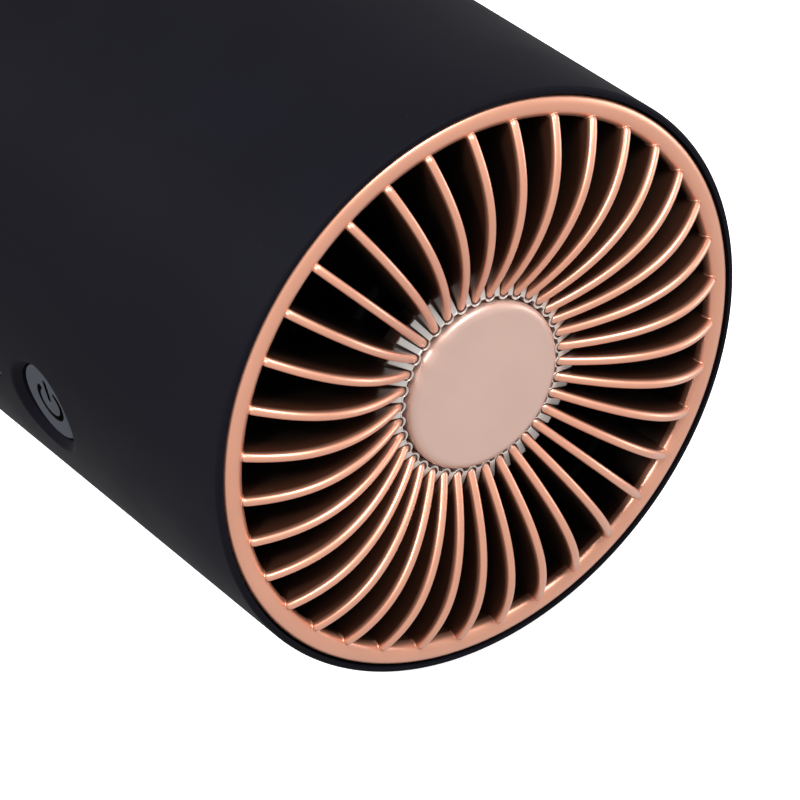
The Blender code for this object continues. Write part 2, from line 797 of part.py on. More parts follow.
def make_screws(axis, look):
    for index, angle in enumerate(frame_screw_angles, 1):
        x, z = around(frame_boss_centre, angle)
        screw(
            f"frame_screw_{index}", lambda u, v, w, x=x, z=z: (x + u, w, z + v), rib_back + gap,
            frame_screw_length + frame_rib_thickness - 1.5 * mm, screw_radius, screw_head_radius,
            screw_head_height, axis, look,
        )
    for index, (x, depth) in enumerate(board_post_points(), 1):
        screw(
            f"board_screw_{index}", lambda u, v, w, x=x, depth=depth: (x + u, depth + v, w), board_top + gap,
            board_screw_length, screw_radius, screw_head_radius, screw_head_height, axis, look,
        )
    for index, angle in enumerate(cover_screw_angles, 1):
        x, z = around(cover_screw_centre, angle)
        head = drum_length - cover_dish - screw_head_height
        screw(
            f"cover_screw_{index}", lambda u, v, w, x=x, z=z: (x + u, w, z + v), head,
            cover_screw_length - 1 * mm, cover_screw_radius, cover_screw_head_radius,
            screw_head_height, axis, look,
        )


def make_electronics(axis, looks):
    board = bmesh.new()
    middle = (board_front + board_back) / 2
    prism(board, rectangle(board_width, board_length, (0, middle)), -board_drop, board_top, upright)
    board_piece = finished(board, "control_board", axis, looks["board"], smooth=False)
    holes = bmesh.new()
    for x, depth in board_post_points():
        outline = circle(screw_radius + thread_gap, small_segments, (x, depth))
        prism(holes, outline, -board_drop - gap, board_top + gap, upright)
    boolean(board_piece, finished(holes, "board_holes", axis, None), "DIFFERENCE")

    chip = bmesh.new()
    chip_bottom = board_top + gap
    outline = rectangle(chip_size, chip_size, (-6 * mm, middle - 6 * mm))
    prism(chip, outline, chip_bottom, chip_bottom + chip_height, upright)
    finished(chip, "driver_chip", axis, looks["dark"], smooth=False)

    can = bmesh.new()
    outline = circle(capacitor_radius, round_segments, (9 * mm, middle - 4 * mm))
    prism(can, outline, chip_bottom, chip_bottom + capacitor_height, upright)
    finished(can, "capacitor", axis, looks["can"])

    socket = bmesh.new()
    socket_back = cover_front + cover_seat_depth - gap - cover_dish
    centre = (0, board_top + gap + socket_height / 2)
    outline = rounded_slot(socket_width, socket_height, centre)
    prism(socket, outline, socket_back - socket_length, socket_back, along_depth())
    socket_piece = finished(socket, "power_socket", axis, looks["steel"])
    well = bmesh.new()
    outline = rounded_slot(socket_width - 0.8 * mm, socket_height - 0.8 * mm, centre)
    prism(well, outline, socket_back - socket_length + 1.5 * mm, socket_back + gap, along_depth())
    boolean(socket_piece, finished(well, "socket_well", axis, None), "DIFFERENCE")


def rounded_slot(width, height, centre):
    """A stadium outline lying across, centred on a point."""
    straight = width - height
    outline = stadium(height / 2, straight, small_segments)
    return [(centre[0] + v - straight / 2, centre[1] + u) for u, v in outline]


def smooth_path(points, spacing):
    """Points at an even spacing on a Catmull-Rom curve through the given points."""
    ends = [points[0] * 2 - points[1]] + points + [points[-1] * 2 - points[-2]]
    path = []
    for index in range(1, len(ends) - 2):
        before, start, stop, after = ends[index - 1:index + 3]
        count = max(2, round((stop - start).length / spacing))
        for step in range(count):
            share = step / count
            path.append(0.5 * (
                2 * start + (stop - before) * share
                + (2 * before - 5 * start + 4 * stop - after) * share**2
                + (3 * start - before - 3 * stop + after) * share**3
            ))
    return path + [points[-1]]


def lead(name, points, parent, look):
    """A thin insulated wire along its route."""
    curve = bpy.data.curves.new(name, "CURVE")
    curve.dimensions = "3D"
    curve.bevel_depth = lead_radius
    curve.bevel_resolution = 2
    curve.use_fill_caps = True
    path = smooth_path([Vector(point) for point in points], lead_radius * 5)
    spline = curve.splines.new("POLY")
    spline.points.add(len(path) - 1)
    for spline_point, place in zip(spline.points, path):
        spline_point.co = (*place, 1)
    made = bpy.data.objects.new(name, curve)
    bpy.context.scene.collection.objects.link(made)
    made.parent = parent
    curve.materials.append(look)


def make_leads(axis, look):
    start = seat_back + gap
    end = board_front - gap
    top = board_top - board_thickness / 2
    lead("motor_lead", [
        (4 * mm, start, -10 * mm),
        (4.5 * mm, start + 6 * mm, -11 * mm),
        (6 * mm, start + 22 * mm, -20 * mm),
        (7 * mm, end - 16 * mm, top + 2 * mm),
        (7 * mm, end, top),
    ], axis, look)
    below = holder_bottom_height() - gap
    sine, cosine = math.sin(button_angle), math.cos(button_angle)
    x, z = below * sine, below * cosine
    lead("switch_lead", [
        (x, button_depth + 8 * mm, z),
        (x + 5 * mm, button_depth + 9 * mm, z - 0.5 * mm),
        (x + 9 * mm, button_depth + 16 * mm, z - 7 * mm),
        (-13 * mm, end - 14 * mm, top + 2 * mm),
        (-12 * mm, end, top),
    ], axis, look)


def holder_bottom_height():
    """Distance of the holder's outer floor from the drum's axis."""
    return switch_board_top - switch_board_thickness - gap - holder_floor


def cover_slot_angles():
    angles = fan_angles(cover_slot_count, math.pi / cover_slot_count)
    return [angle for angle in angles if abs(angle - math.pi) > cover_blank_angle]


def make_rear_cover(axis, look):
    body = bmesh.new()
    plate_back = drum_length - cover_dish
    plate_front = plate_back - cover_plate_thickness
    rim_in = cover_radius - cover_rim_width
    profile = [(0, plate_front), (rim_in, plate_front), (rim_in + 0.5 * mm, cover_front), (cover_radius, cover_front)]
    profile += [(cover_radius, drum_length - 0.8 * mm), (cover_radius - 0.8 * mm, drum_length)]
    profile += [(rim_in + 1 * mm, drum_length), (rim_in - 0.5 * mm, plate_back), (0, plate_back)]
    turned(body, profile, drum_segments)
    cover = finished(body, "rear_cover", axis, look)

    holes = bmesh.new()
    front, back = cover_front - gap, drum_length + gap
    slot_outer = cover_radius - cover_rim_width - cover_slot_margin
    length = slot_outer - cover_slot_inner - cover_slot_width
    for angle in cover_slot_angles():
        outline = stadium(cover_slot_width / 2, length, 6)
        outline = [(u, v + cover_slot_inner + cover_slot_width / 2) for u, v in outline]
        prism(holes, outline, front, back, along_depth(angle))
    centre = (0, board_top + gap + socket_height / 2)
    outline = rounded_slot(socket_width + 2 * gap, socket_height + 2 * gap, centre)
    prism(holes, outline, front, back, along_depth())
    for angle in cover_screw_angles:
        outline = circle(cover_screw_radius + gap, small_segments, (0, cover_screw_centre))
        prism(holes, outline, front, back, along_depth(angle))
    boolean(cover, finished(holes, "cover_holes", axis, None), "DIFFERENCE")

    sinks = bmesh.new()
    head_seat = drum_length - cover_dish - screw_head_height - gap
    for angle in cover_screw_angles:
        outline = circle(cover_screw_head_radius + gap, small_segments, (0, cover_screw_centre))
        prism(sinks, outline, head_seat, back, along_depth(angle))
    boolean(cover, finished(sinks, "cover_sinks", axis, None), "DIFFERENCE")
    return cover


def make_filter(axis, look):
    """A D-shaped sheet of open foam in front of the slots, cut off straight above the power socket."""
    radius = cover_screw_centre - cover_boss_radius - 1 * mm
    plate_front = drum_length - cover_dish - cover_plate_thickness
    back = plate_front - filter_gap
    flat = board_top + gap + socket_height + 3 * mm
    limit = math.acos(flat / radius)
    steps = round_segments
    outline = [around(radius, -limit + 2 * limit * step / steps) for step in range(steps + 1)]
    body = bmesh.new()
    prism(body, outline, back - filter_thickness, back, along_depth())
    return finished(body, "intake_filter", axis, look, smooth=False)


def make_feet(axis, look):
    """Rubber strips: flat below, and hollowed above to the drum's curve."""
    top_radius = drum_radius + gap
    for name, side in (("foot_left", -1), ("foot_right", 1)):
        inner, outer = foot_centre - foot_width / 2, foot_centre + foot_width / 2
        steps = 4
        outline = [(side * inner, -axis_height), (side * outer, -axis_height)]
        for step in range(steps + 1):
            x = outer + (inner - outer) * step / steps
            outline.append((side * x, -math.sqrt(top_radius**2 - x**2) - 0.1 * mm))
        body = bmesh.new()
        prism(body, outline, foot_margin, drum_length - foot_margin, along_depth())
        finished(body, name, axis, look, smooth=False)


def build():
    scene_cleared()
    black = material("shell_black", (0.018, 0.018, 0.021), 0.62)
    inside = material("inside_black", (0.012, 0.012, 0.013), 0.55)
    copper = material("rose_gold", (0.78, 0.36, 0.20), 0.32, 0.85)
    champagne = material("champagne", (0.72, 0.50, 0.40), 0.38, 0.6)
    steel = material("steel", (0.55, 0.55, 0.56), 0.30, 1.0)
    magnet = material("magnet", (0.06, 0.06, 0.065), 0.5)
    bronze = material("bronze", (0.45, 0.28, 0.12), 0.4, 1.0)
    green = material("board_green", (0.02, 0.16, 0.07), 0.45)
    rubber = material("rubber_black", (0.015, 0.015, 0.016), 0.8)
    foam = material("foam_grey", (0.05, 0.05, 0.055), 0.95)
    looks = {
        "button": material("button_grey", (0.10, 0.10, 0.105), 0.55),
        "white": material("white_plastic", (0.8, 0.8, 0.78), 0.4),
        "dark": material("chip_black", (0.02, 0.02, 0.02), 0.5),
        "clear": material("window_clear", (0.35, 0.37, 0.40), 0.15),
        "can": material("can_silver", (0.6, 0.6, 0.62), 0.35, 0.9),
        "board": green,
        "inside": inside,
        "steel": steel,
    }

    axis = empty("drum_axis", (0, front_y, axis_height))
    spin_axis = empty("spin_axis", (0, impeller_front, 0), parent=axis)
    button_axis = empty("button_axis", (0, button_depth, 0), (0, button_angle, 0), axis)
    press_axis = empty("press_axis", (0, 0, 0), parent=button_axis)

    make_shell(axis, button_axis, black)
    make_front_grille(axis, copper)
    make_hub_cap(axis, champagne)
    seal_inner = rim_back_radius - seal_width
    seal_back = seal_front + seal_thickness
    ring_piece("grille_seal", seal_inner, rim_back_radius, seal_front, seal_back, drum_segments, axis, rubber)
    make_fan_frame(axis, inside)
    make_impeller(spin_axis, inside)
    make_rotor(spin_axis, steel, magnet)
    make_stator(axis, steel, green, bronze)
    make_button(press_axis, button_axis, looks)
    make_electronics(axis, looks)
    make_screws(axis, steel)
    make_leads(axis, rubber)
    make_rear_cover(axis, black)
    make_filter(axis, foam)
    make_feet(axis, rubber)


build()
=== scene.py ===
# Desk fan: a black drum on two rubber strips, with a rose-gold vane grille in front of its impeller.
# Lengths are in metres, and in millimetres inside inMetres(). A depth is measured behind the rim plane,
# and a turn clockwise from straight up.
import math

import bmesh
import bpy
import numpy as np
from mathutils import Matrix, Vector


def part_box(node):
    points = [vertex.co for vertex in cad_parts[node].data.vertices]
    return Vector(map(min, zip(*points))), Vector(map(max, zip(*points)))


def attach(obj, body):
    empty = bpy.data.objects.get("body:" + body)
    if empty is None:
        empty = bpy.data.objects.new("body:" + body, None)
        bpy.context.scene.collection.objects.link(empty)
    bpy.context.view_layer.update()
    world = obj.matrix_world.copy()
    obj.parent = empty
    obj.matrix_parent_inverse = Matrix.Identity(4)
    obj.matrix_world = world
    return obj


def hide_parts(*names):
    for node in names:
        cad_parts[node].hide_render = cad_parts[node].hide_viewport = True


mm = 0.001
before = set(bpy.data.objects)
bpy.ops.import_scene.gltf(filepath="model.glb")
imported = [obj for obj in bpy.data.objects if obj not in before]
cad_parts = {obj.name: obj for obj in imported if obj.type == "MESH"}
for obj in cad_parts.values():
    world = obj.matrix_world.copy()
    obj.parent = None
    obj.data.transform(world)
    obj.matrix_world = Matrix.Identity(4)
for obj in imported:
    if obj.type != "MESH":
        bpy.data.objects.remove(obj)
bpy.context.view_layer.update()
print("frame loaded:", len(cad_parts), "nodes")

shellLow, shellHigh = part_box("shell")
drum = {
    "radius": (shellHigh.x - shellLow.x) / 2,
    "length": shellHigh.y - shellLow.y,
    "rimY": shellLow.y,
    "axisZ": (shellHigh.z + shellLow.z) / 2,
    "wall": 2.2 * mm,
    "gap": 0.3 * mm,
}


def inMetres(**lengths):
    # a piece's lengths, which are written in millimetres
    return {name: np.multiply(length, mm) for name, length in lengths.items()}


def placed(across, depth, up):
    # points from their places across the drum, behind its rim and above its axis
    across, depth, up = np.broadcast_arrays(across, depth, up)
    return np.stack([across, drum["rimY"] + depth, drum["axisZ"] + up], -1)


def inDrum(radius, turn, depth):
    # points from their radius and turn around the drum's axis, and their depth
    return placed(radius * np.sin(turn), depth, radius * np.cos(turn))


def standing(turn, sideways, outwards, depth):
    # points of a piece that stands out along one turn: sideways of it, out from the axis, and their depth
    return placed(sideways * math.cos(turn) + outwards * math.sin(turn), depth,
                  outwards * math.cos(turn) - sideways * math.sin(turn))


def placeAt(turn):
    # the same for flat (sideways, outwards) points
    def place(flat, depth):
        return standing(turn, flat[..., 0], flat[..., 1], depth)
    return place


def patch(points, ring=False, loop=False, keep=None, **tones):
    # a grid of points as four-sided faces; ring joins its last column to its first, loop its last row
    rows, columns = points.shape[:2]
    row = np.arange(rows if loop else rows - 1)[:, None]
    column = np.arange(columns if ring else columns - 1)[None, :]
    nextRow, nextColumn = (row + 1) % rows, (column + 1) % columns
    corners = (row * columns + column, row * columns + nextColumn,
               nextRow * columns + nextColumn, nextRow * columns + column)
    faces = np.stack(np.broadcast_arrays(*corners), -1)
    faces = faces.reshape(-1, 4) if keep is None else faces[keep]
    values = {key: np.broadcast_to(tone, (rows, columns)).ravel() for key, tone in tones.items()}
    return points.reshape(-1, 3), faces, values


weld = {"distance": 0.0005 * mm, "crease": math.radians(35)}


def makePiece(name, patches, look, node, body="drum"):
    # welds the patches into one mesh with its faces outwards, and rides it on its body
    starts = np.cumsum([0] + [len(points) for points, faces, values in patches])
    points = np.concatenate([points for points, faces, values in patches])
    faces = np.concatenate([faces + start for (_, faces, _), start in zip(patches, starts)])
    mesh = bpy.data.meshes.new(name)
    mesh.from_pydata(points.tolist(), [], faces.tolist())
    for key in sorted({key for _, _, values in patches for key in values}):
        tone = np.concatenate([values.get(key, np.zeros(len(flat))) for flat, _, values in patches])
        layer = mesh.attributes.new(key, "FLOAT", "POINT")
        layer.data.foreach_set("value", tone.astype(np.float32))
    welded = bmesh.new()
    welded.from_mesh(mesh)
    bmesh.ops.remove_doubles(welded, verts=welded.verts, dist=weld["distance"])
    bmesh.ops.recalc_face_normals(welded, faces=welded.faces)
    welded.to_mesh(mesh)
    welded.free()
    mesh.shade_smooth()
    mesh.set_sharp_from_angle(angle=weld["crease"])
    mesh.materials.append(looks[look])
    piece = bpy.data.objects.new(name, mesh)
    bpy.context.scene.collection.objects.link(piece)
    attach(piece, body)
    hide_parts(node)


def turnedPatch(profile, columns, loop=True, keep=None, **tones):
    # a (radius, depth) profile carried once around the drum's axis
    profile = np.asarray(profile, float)
    turns = 2 * np.pi * np.arange(columns) / columns
    points = inDrum(profile[:, :1], turns[None, :], profile[:, 1:])
    return patch(points, ring=True, loop=loop, keep=keep, **tones)


def quarter(start, end, steps, outFirst=True):
    # an elliptical quarter arc between two (radius, depth) corners, without its first point; outFirst
    # leaves the first corner along the radius, and otherwise it leaves along the depth
    turn = np.linspace(0, np.pi / 2, steps + 1)[1:, None]
    start, end = np.asarray(start, float), np.asarray(end, float)
    first, second = (np.sin(turn), 1 - np.cos(turn)) if outFirst else (1 - np.cos(turn), np.sin(turn))
    share = np.concatenate([first, second], 1)
    return start + (end - start) * share


def line(start, end, steps):
    # points from start to end, without the first
    share = np.linspace(0, 1, steps + 1)[1:, None]
    return np.asarray(start, float) * (1 - share) + np.asarray(end, float) * share


def borderOf(across, along):
    # the border of a window in a grid: its near side, right side, far side, then left side
    near = np.stack([across[:-1], np.full(len(across) - 1, along[0])], -1)
    right = np.stack([np.full(len(along) - 1, across[-1]), along[:-1]], -1)
    far = np.stack([across[:0:-1], np.full(len(across) - 1, along[-1])], -1)
    left = np.stack([np.full(len(along) - 1, across[0]), along[:0:-1]], -1)
    return np.concatenate([near, right, far, left])


def roundOutline(columns, rows, radius, half=0.0, centre=(0.0, 0.0)):
    # a circle, or a slot of this half length along the second axis, with a point for each of the border's
    corner = 0.0 if half else np.pi / 4
    side, end = np.arange(rows) / rows, np.arange(columns) / columns
    sweep = np.pi - 2 * corner
    turn = np.concatenate([corner - np.pi + end * sweep, -corner + side * 2 * corner,
                           corner + end * sweep, np.pi - corner + side * 2 * corner])
    slide = np.concatenate([-half + 0 * end, half * (2 * side - 1), half + 0 * end, half * (1 - 2 * side)])
    return np.stack([centre[0] + radius * np.cos(turn), centre[1] + slide + radius * np.sin(turn)], -1)


def roundedLip(edge):
    # (growth, sink) of a hole's edge: a quarter circle, or a sharp corner where the edge is 0
    turn = np.linspace(0, np.pi / 2, 6) if edge else np.array([np.pi / 2])
    return np.stack([edge * (1 - np.sin(turn)), edge * (1 - np.cos(turn))], -1)


def flaredLip(width, softness):
    # (growth, sink) of a hole's edge: a slope at 45 degrees that a hyperbola eases into the face around it
    growth = np.linspace(width + 3 * softness, 0, 16)
    sink = (width - growth + np.sqrt((width - growth) ** 2 + softness**2)) / 2
    return np.stack([growth, sink - sink[0]], -1)


def holeRows(border, outline, lift, lip, steps):
    # rows from the border in to the outline, and down along its lip; outline(grow) is the hole grown
    share = np.linspace(0, 1, steps)[:, None, None]
    flat = border * (1 - share) + outline(lip[0, 0]) * share
    edge = [outline(growth) for growth, _ in lip[1:]]
    points = np.concatenate([flat] + [rows[None] for rows in edge])
    sink = np.concatenate([np.zeros(steps), lip[1:, 1]])[:, None]
    return lift(points, np.broadcast_to(sink, points.shape[:2]))


def capsule(count, nearEnd, farEnd, radius):
    # a stadium around the stretch from one end to the other along its second axis
    turn = 2 * np.pi * np.arange(count) / count
    middle = np.where(np.cos(turn) >= 0, farEnd, nearEnd)
    return np.stack([radius * np.sin(turn), middle + radius * np.cos(turn)], -1)


def capsuleStack(rows, place):
    # capsules joined one after another into a closed body: place(outline, height) gives their points
    return np.stack([place(capsule(48, near, far, radius), height) for near, far, radius, height in rows])


def newLook(name, finish):
    # a material with the plain values of a finish on its one shader
    look = bpy.data.materials.new(name)
    look.use_nodes = True
    shader = look.node_tree.nodes["Principled BSDF"]
    shader.inputs["Base Color"].default_value = (*finish["colour"], 1)
    shader.inputs["Roughness"].default_value = finish["roughness"]
    shader.inputs["Metallic"].default_value = finish.get("metallic", 0.0)
    shader.inputs["Specular IOR Level"].default_value = finish.get("specular", 0.5)
    shader.inputs["Coat Weight"].default_value = finish.get("coat", 0.0)
    shader.inputs["Coat Roughness"].default_value = 0.3
    return look, look.node_tree, shader


def addNode(tree, kind, inputs=None, **settings):
    node = tree.nodes.new(kind)
    for key, value in settings.items():
        setattr(node, key, value)
    for key, value in (inputs or {}).items():
        socket = node.inputs[key]
        if isinstance(value, bpy.types.NodeSocket):
            tree.links.new(value, socket)
        else:
            socket.default_value = value
    return node


def objectPoint(tree, stretch=(1, 1, 1)):
    # object coordinates, stretched where a pattern is longer one way
    source = addNode(tree, "ShaderNodeTexCoord").outputs["Object"]
    if stretch == (1, 1, 1):
        return source
    return addNode(tree, "ShaderNodeMapping", {"Vector": source, "Scale": stretch}).outputs["Vector"]


def noise(tree, point, size, detail=3.0, roughness=0.5):
    # noise with features of about this size in metres
    inputs = {"Vector": point, "Scale": 1 / size, "Detail": detail, "Roughness": roughness}
    return addNode(tree, "ShaderNodeTexNoise", inputs).outputs["Fac"]


def spread(tree, value, low, high, fromLow=0.3, fromHigh=0.7):
    # a value stretched from one range into another
    inputs = {"Value": value, "From Min": fromLow, "From Max": fromHigh, "To Min": low, "To Max": high}
    return addNode(tree, "ShaderNodeMapRange", inputs).outputs["Result"]


def mixColour(tree, share, first, second):
    node = addNode(tree, "ShaderNodeMix", data_type="RGBA")
    tree.links.new(share, node.inputs[0])
    for socket, colour in ((node.inputs[6], first), (node.inputs[7], second)):
        if isinstance(colour, bpy.types.NodeSocket):
            tree.links.new(colour, socket)
        else:
            socket.default_value = (*colour, 1)
    return node.outputs[2]


def attribute(tree, name):
    return addNode(tree, "ShaderNodeAttribute", attribute_name=name).outputs["Fac"]


def bump(tree, shader, height, strength, distance):
    inputs = {"Height": height, "Strength": strength, "Distance": distance}
    tree.links.new(addNode(tree, "ShaderNodeBump", inputs).outputs["Normal"], shader.inputs["Normal"])


def addGloss(tree, shader, point, size, detail, low, high):
    # uneven gloss: the roughness drifts between two values
    gloss = spread(tree, noise(tree, point, size, detail), low, high)
    tree.links.new(gloss, shader.inputs["Roughness"])


def addGrain(tree, shader, point, size, strength, height):
    bump(tree, shader, noise(tree, point, size, 2.0), strength, height)


def darker(colour, share):
    return tuple(part * share for part in colour)


def mottled(name, finish):
    # a plain finish with slow colour drift, uneven gloss and a fine surface grain
    look, tree, shader = newLook(name, finish)
    point = objectPoint(tree, finish.get("stretch", (1, 1, 1)))
    drift = spread(tree, noise(tree, point, finish["driftSize"]), 0, 1)
    shade = darker(finish["colour"], finish.get("shade", 0.8))
    tree.links.new(mixColour(tree, drift, shade, finish["colour"]), shader.inputs["Base Color"])
    addGloss(tree, shader, point, finish["driftSize"] * 0.4, 5.0,
             finish["roughness"] * 0.9, finish["roughness"] * 1.1)
    addGrain(tree, shader, point, finish["grainSize"], finish["grain"], finish["grainSize"])
    return look


# a gloss is its size, detail, lowest and highest roughness; a grain is its size, strength and height
softBlack = {"colour": (0.0061, 0.0059, 0.0092), "roughness": 0.60, "specular": 0.035,
             "driftSize": 40 * mm, "drift": (0.82, 1.12), "gloss": (20 * mm, 6.0, 0.52, 0.62),
             "grain": (0.09 * mm, 0.12, 0.05 * mm), "fleck": (0.05, 0.05, 0.055), "fleckPitch": 5 * mm,
             "fleckEdge": (0.012, 0.026), "fleckStrength": 0.55}


def softTouchLook():
    # matte soft-touch paint: a very fine dry grain, slow drift in its gloss, and a few pale dust flecks
    look, tree, shader = newLook("softTouchBlack", softBlack)
    point = objectPoint(tree)
    drift = spread(tree, noise(tree, point, softBlack["driftSize"], 4.0), *softBlack["drift"])
    tinted = addNode(tree, "ShaderNodeMix", data_type="RGBA", blend_type="MULTIPLY")
    tinted.inputs[0].default_value = 1.0
    tinted.inputs[6].default_value = (*softBlack["colour"], 1)
    tree.links.new(drift, tinted.inputs[7])
    cells = {"Vector": point, "Scale": 1 / softBlack["fleckPitch"]}
    flecks = addNode(tree, "ShaderNodeTexVoronoi", cells).outputs["Distance"]
    fleck = spread(tree, flecks, softBlack["fleckStrength"], 0, *softBlack["fleckEdge"])
    flecked = mixColour(tree, fleck, tinted.outputs[2], softBlack["fleck"])
    tree.links.new(flecked, shader.inputs["Base Color"])
    addGloss(tree, shader, point, *softBlack["gloss"])
    addGrain(tree, shader, point, *softBlack["grain"])
    return look


# the second and third colours are painted shade, reached deeper into the grille; silver is the hub's metal,
# and also a painted sheen at the vanes' inner ends
roseGold = {"colour": (0.86, 0.40, 0.26), "thin": (0.13, 0.042, 0.020), "bare": (0.034, 0.020, 0.014),
            "silver": (0.78, 0.74, 0.70), "thinAt": 0.20, "roughness": 0.38, "metallic": 0.75, "coat": 1.0,
            "driftSize": 14 * mm, "shade": 0.93, "gloss": (4 * mm, 5.0, 0.35, 0.42),
            "grain": (0.12 * mm, 0.05, 0.02 * mm)}


def roseGoldLook():
    # satin rose-gold plating, painted darker deeper into the grille as painted shade: the depth mask runs
    # from 0 at the front to 1 inside, and "pale" marks the silver metal at the hub and a painted sheen at
    # the vanes' inner ends
    look, tree, shader = newLook("roseGoldPlating", roseGold)
    point = objectPoint(tree)
    drift = spread(tree, noise(tree, point, roseGold["driftSize"], 3.0), 0, 1)
    warm = mixColour(tree, drift, darker(roseGold["colour"], roseGold["shade"]), roseGold["colour"])
    plated = mixColour(tree, attribute(tree, "pale"), warm, roseGold["silver"])
    deep = attribute(tree, "deep")
    midShaded = mixColour(tree, spread(tree, deep, 0, 1, 0, roseGold["thinAt"]), plated, roseGold["thin"])
    bare = mixColour(tree, spread(tree, deep, 0, 1, roseGold["thinAt"], 1), midShaded, roseGold["bare"])
    tree.links.new(bare, shader.inputs["Base Color"])
    addGloss(tree, shader, point, *roseGold["gloss"])
    addGrain(tree, shader, point, *roseGold["grain"])
    return look


buttonGrey = {"colour": (0.074, 0.079, 0.092), "paint": (0.002, 0.002, 0.0025), "roughness": 0.55,
              "specular": 0.0, "driftSize": 6 * mm, "shade": 0.9, "grain": (0.10 * mm, 0.12, 0.04 * mm)}


def buttonLook():
    # matte moulded grey, with black paint where "mark" says that the symbol is engraved
    look, tree, shader = newLook("buttonGrey", buttonGrey)
    point = objectPoint(tree)
    drift = spread(tree, noise(tree, point, buttonGrey["driftSize"], 3.0), 0, 1)
    plain = mixColour(tree, drift, darker(buttonGrey["colour"], buttonGrey["shade"]), buttonGrey["colour"])
    marked = mixColour(tree, attribute(tree, "mark"), plain, buttonGrey["paint"])
    tree.links.new(marked, shader.inputs["Base Color"])
    addGrain(tree, shader, point, *buttonGrey["grain"])
    return look


boardGreen = {"colour": (0.02, 0.16, 0.07), "mask": (0.012, 0.10, 0.045), "overCopper": (0.03, 0.21, 0.09),
              "tin": (0.62, 0.60, 0.52), "roughness": 0.35, "coat": 0.3, "trackPitch": 2.6 * mm,
              "viaPitch": 3.9 * mm, "relief": 0.05 * mm}


def boardLook():
    # green solder mask over copper tracks: one Voronoi pattern gives the tracks, a second the vias' dots
    look, tree, shader = newLook("boardGreen", boardGreen)
    point = objectPoint(tree)
    cells = {"Vector": point, "Scale": 1 / boardGreen["trackPitch"]}
    tracks = addNode(tree, "ShaderNodeTexVoronoi", cells, distance="MANHATTAN", feature="F1")
    track = spread(tree, tracks.outputs["Distance"], 0, 1, 0.30, 0.36)
    masked = mixColour(tree, track, boardGreen["mask"], boardGreen["overCopper"])
    vias = addNode(tree, "ShaderNodeTexVoronoi", {"Vector": point, "Scale": 1 / boardGreen["viaPitch"]})
    via = spread(tree, vias.outputs["Distance"], 1, 0, 0.07, 0.10)
    tree.links.new(mixColour(tree, via, masked, boardGreen["tin"]), shader.inputs["Base Color"])
    bump(tree, shader, track, 0.25, boardGreen["relief"])
    return look


# the pore colour is painted shade for the foam's holes
foamGrey = {"colour": (0.05, 0.05, 0.055), "pore": (0.008, 0.008, 0.009), "wall": (0.075, 0.075, 0.08),
            "roughness": 0.95, "specular": 0.1, "pitch": 0.8 * mm, "relief": 0.3 * mm}


def foamLook():
    # open-cell foam: pale cell walls, with the pores between painted dark as painted shade
    look, tree, shader = newLook("foamGrey", foamGrey)
    inputs = {"Vector": objectPoint(tree), "Scale": 1 / foamGrey["pitch"]}
    cells = addNode(tree, "ShaderNodeTexVoronoi", inputs, feature="DISTANCE_TO_EDGE")
    wall = spread(tree, cells.outputs["Distance"], 1, 0, 0.02, 0.22)
    tree.links.new(mixColour(tree, wall, foamGrey["pore"], foamGrey["wall"]), shader.inputs["Base Color"])
    bump(tree, shader, wall, 0.8, foamGrey["relief"])
    return look


finishes = {
    "champagne": {"colour": (0.71, 0.475, 0.395), "roughness": 0.42, "metallic": 0.55, "coat": 1.0,
                  "driftSize": 9 * mm, "shade": 0.95, "grainSize": 0.07 * mm, "grain": 0.10},
    "inside": {"colour": (0.010, 0.010, 0.011), "roughness": 0.50, "specular": 0.35, "driftSize": 12 * mm,
               "grainSize": 0.3 * mm, "grain": 0.10},
    "rubber": {"colour": (0.015, 0.015, 0.016), "roughness": 0.85, "specular": 0.25, "driftSize": 9 * mm,
               "grainSize": 0.2 * mm, "grain": 0.25},
    "steel": {"colour": (0.55, 0.55, 0.56), "roughness": 0.32, "metallic": 1.0, "driftSize": 5 * mm,
              "stretch": (1, 6, 1), "grainSize": 0.15 * mm, "grain": 0.10},
    "darkSteel": {"colour": (0.10, 0.10, 0.105), "roughness": 0.38, "metallic": 1.0, "driftSize": 2 * mm,
                  "grainSize": 0.12 * mm, "grain": 0.10},
    "magnet": {"colour": (0.06, 0.06, 0.065), "roughness": 0.65, "metallic": 0.2, "driftSize": 4 * mm,
               "grainSize": 0.25 * mm, "grain": 0.3},
    "bronze": {"colour": (0.45, 0.28, 0.12), "roughness": 0.45, "metallic": 0.9, "driftSize": 3 * mm,
               "grainSize": 0.15 * mm, "grain": 0.3},
    "white": {"colour": (0.78, 0.78, 0.76), "roughness": 0.5, "driftSize": 4 * mm, "shade": 0.93,
              "grainSize": 0.2 * mm, "grain": 0.05},
    "chip": {"colour": (0.02, 0.02, 0.021), "roughness": 0.55, "driftSize": 3 * mm,
             "grainSize": 0.12 * mm, "grain": 0.25},
    "smoked": {"colour": (0.010, 0.010, 0.012), "roughness": 0.22, "driftSize": 3 * mm,
               "grainSize": 0.3 * mm, "grain": 0.02},
    "can": {"colour": (0.60, 0.60, 0.62), "roughness": 0.28, "metallic": 0.9, "driftSize": 4 * mm,
            "stretch": (1, 1, 5), "grainSize": 0.2 * mm, "grain": 0.06},
}
looks = {name: mottled(name + "Finish", finish) for name, finish in finishes.items()}
looks.update(shell=softTouchLook(), roseGold=roseGoldLook(), button=buttonLook(), board=boardLook(),
             foam=foamLook())


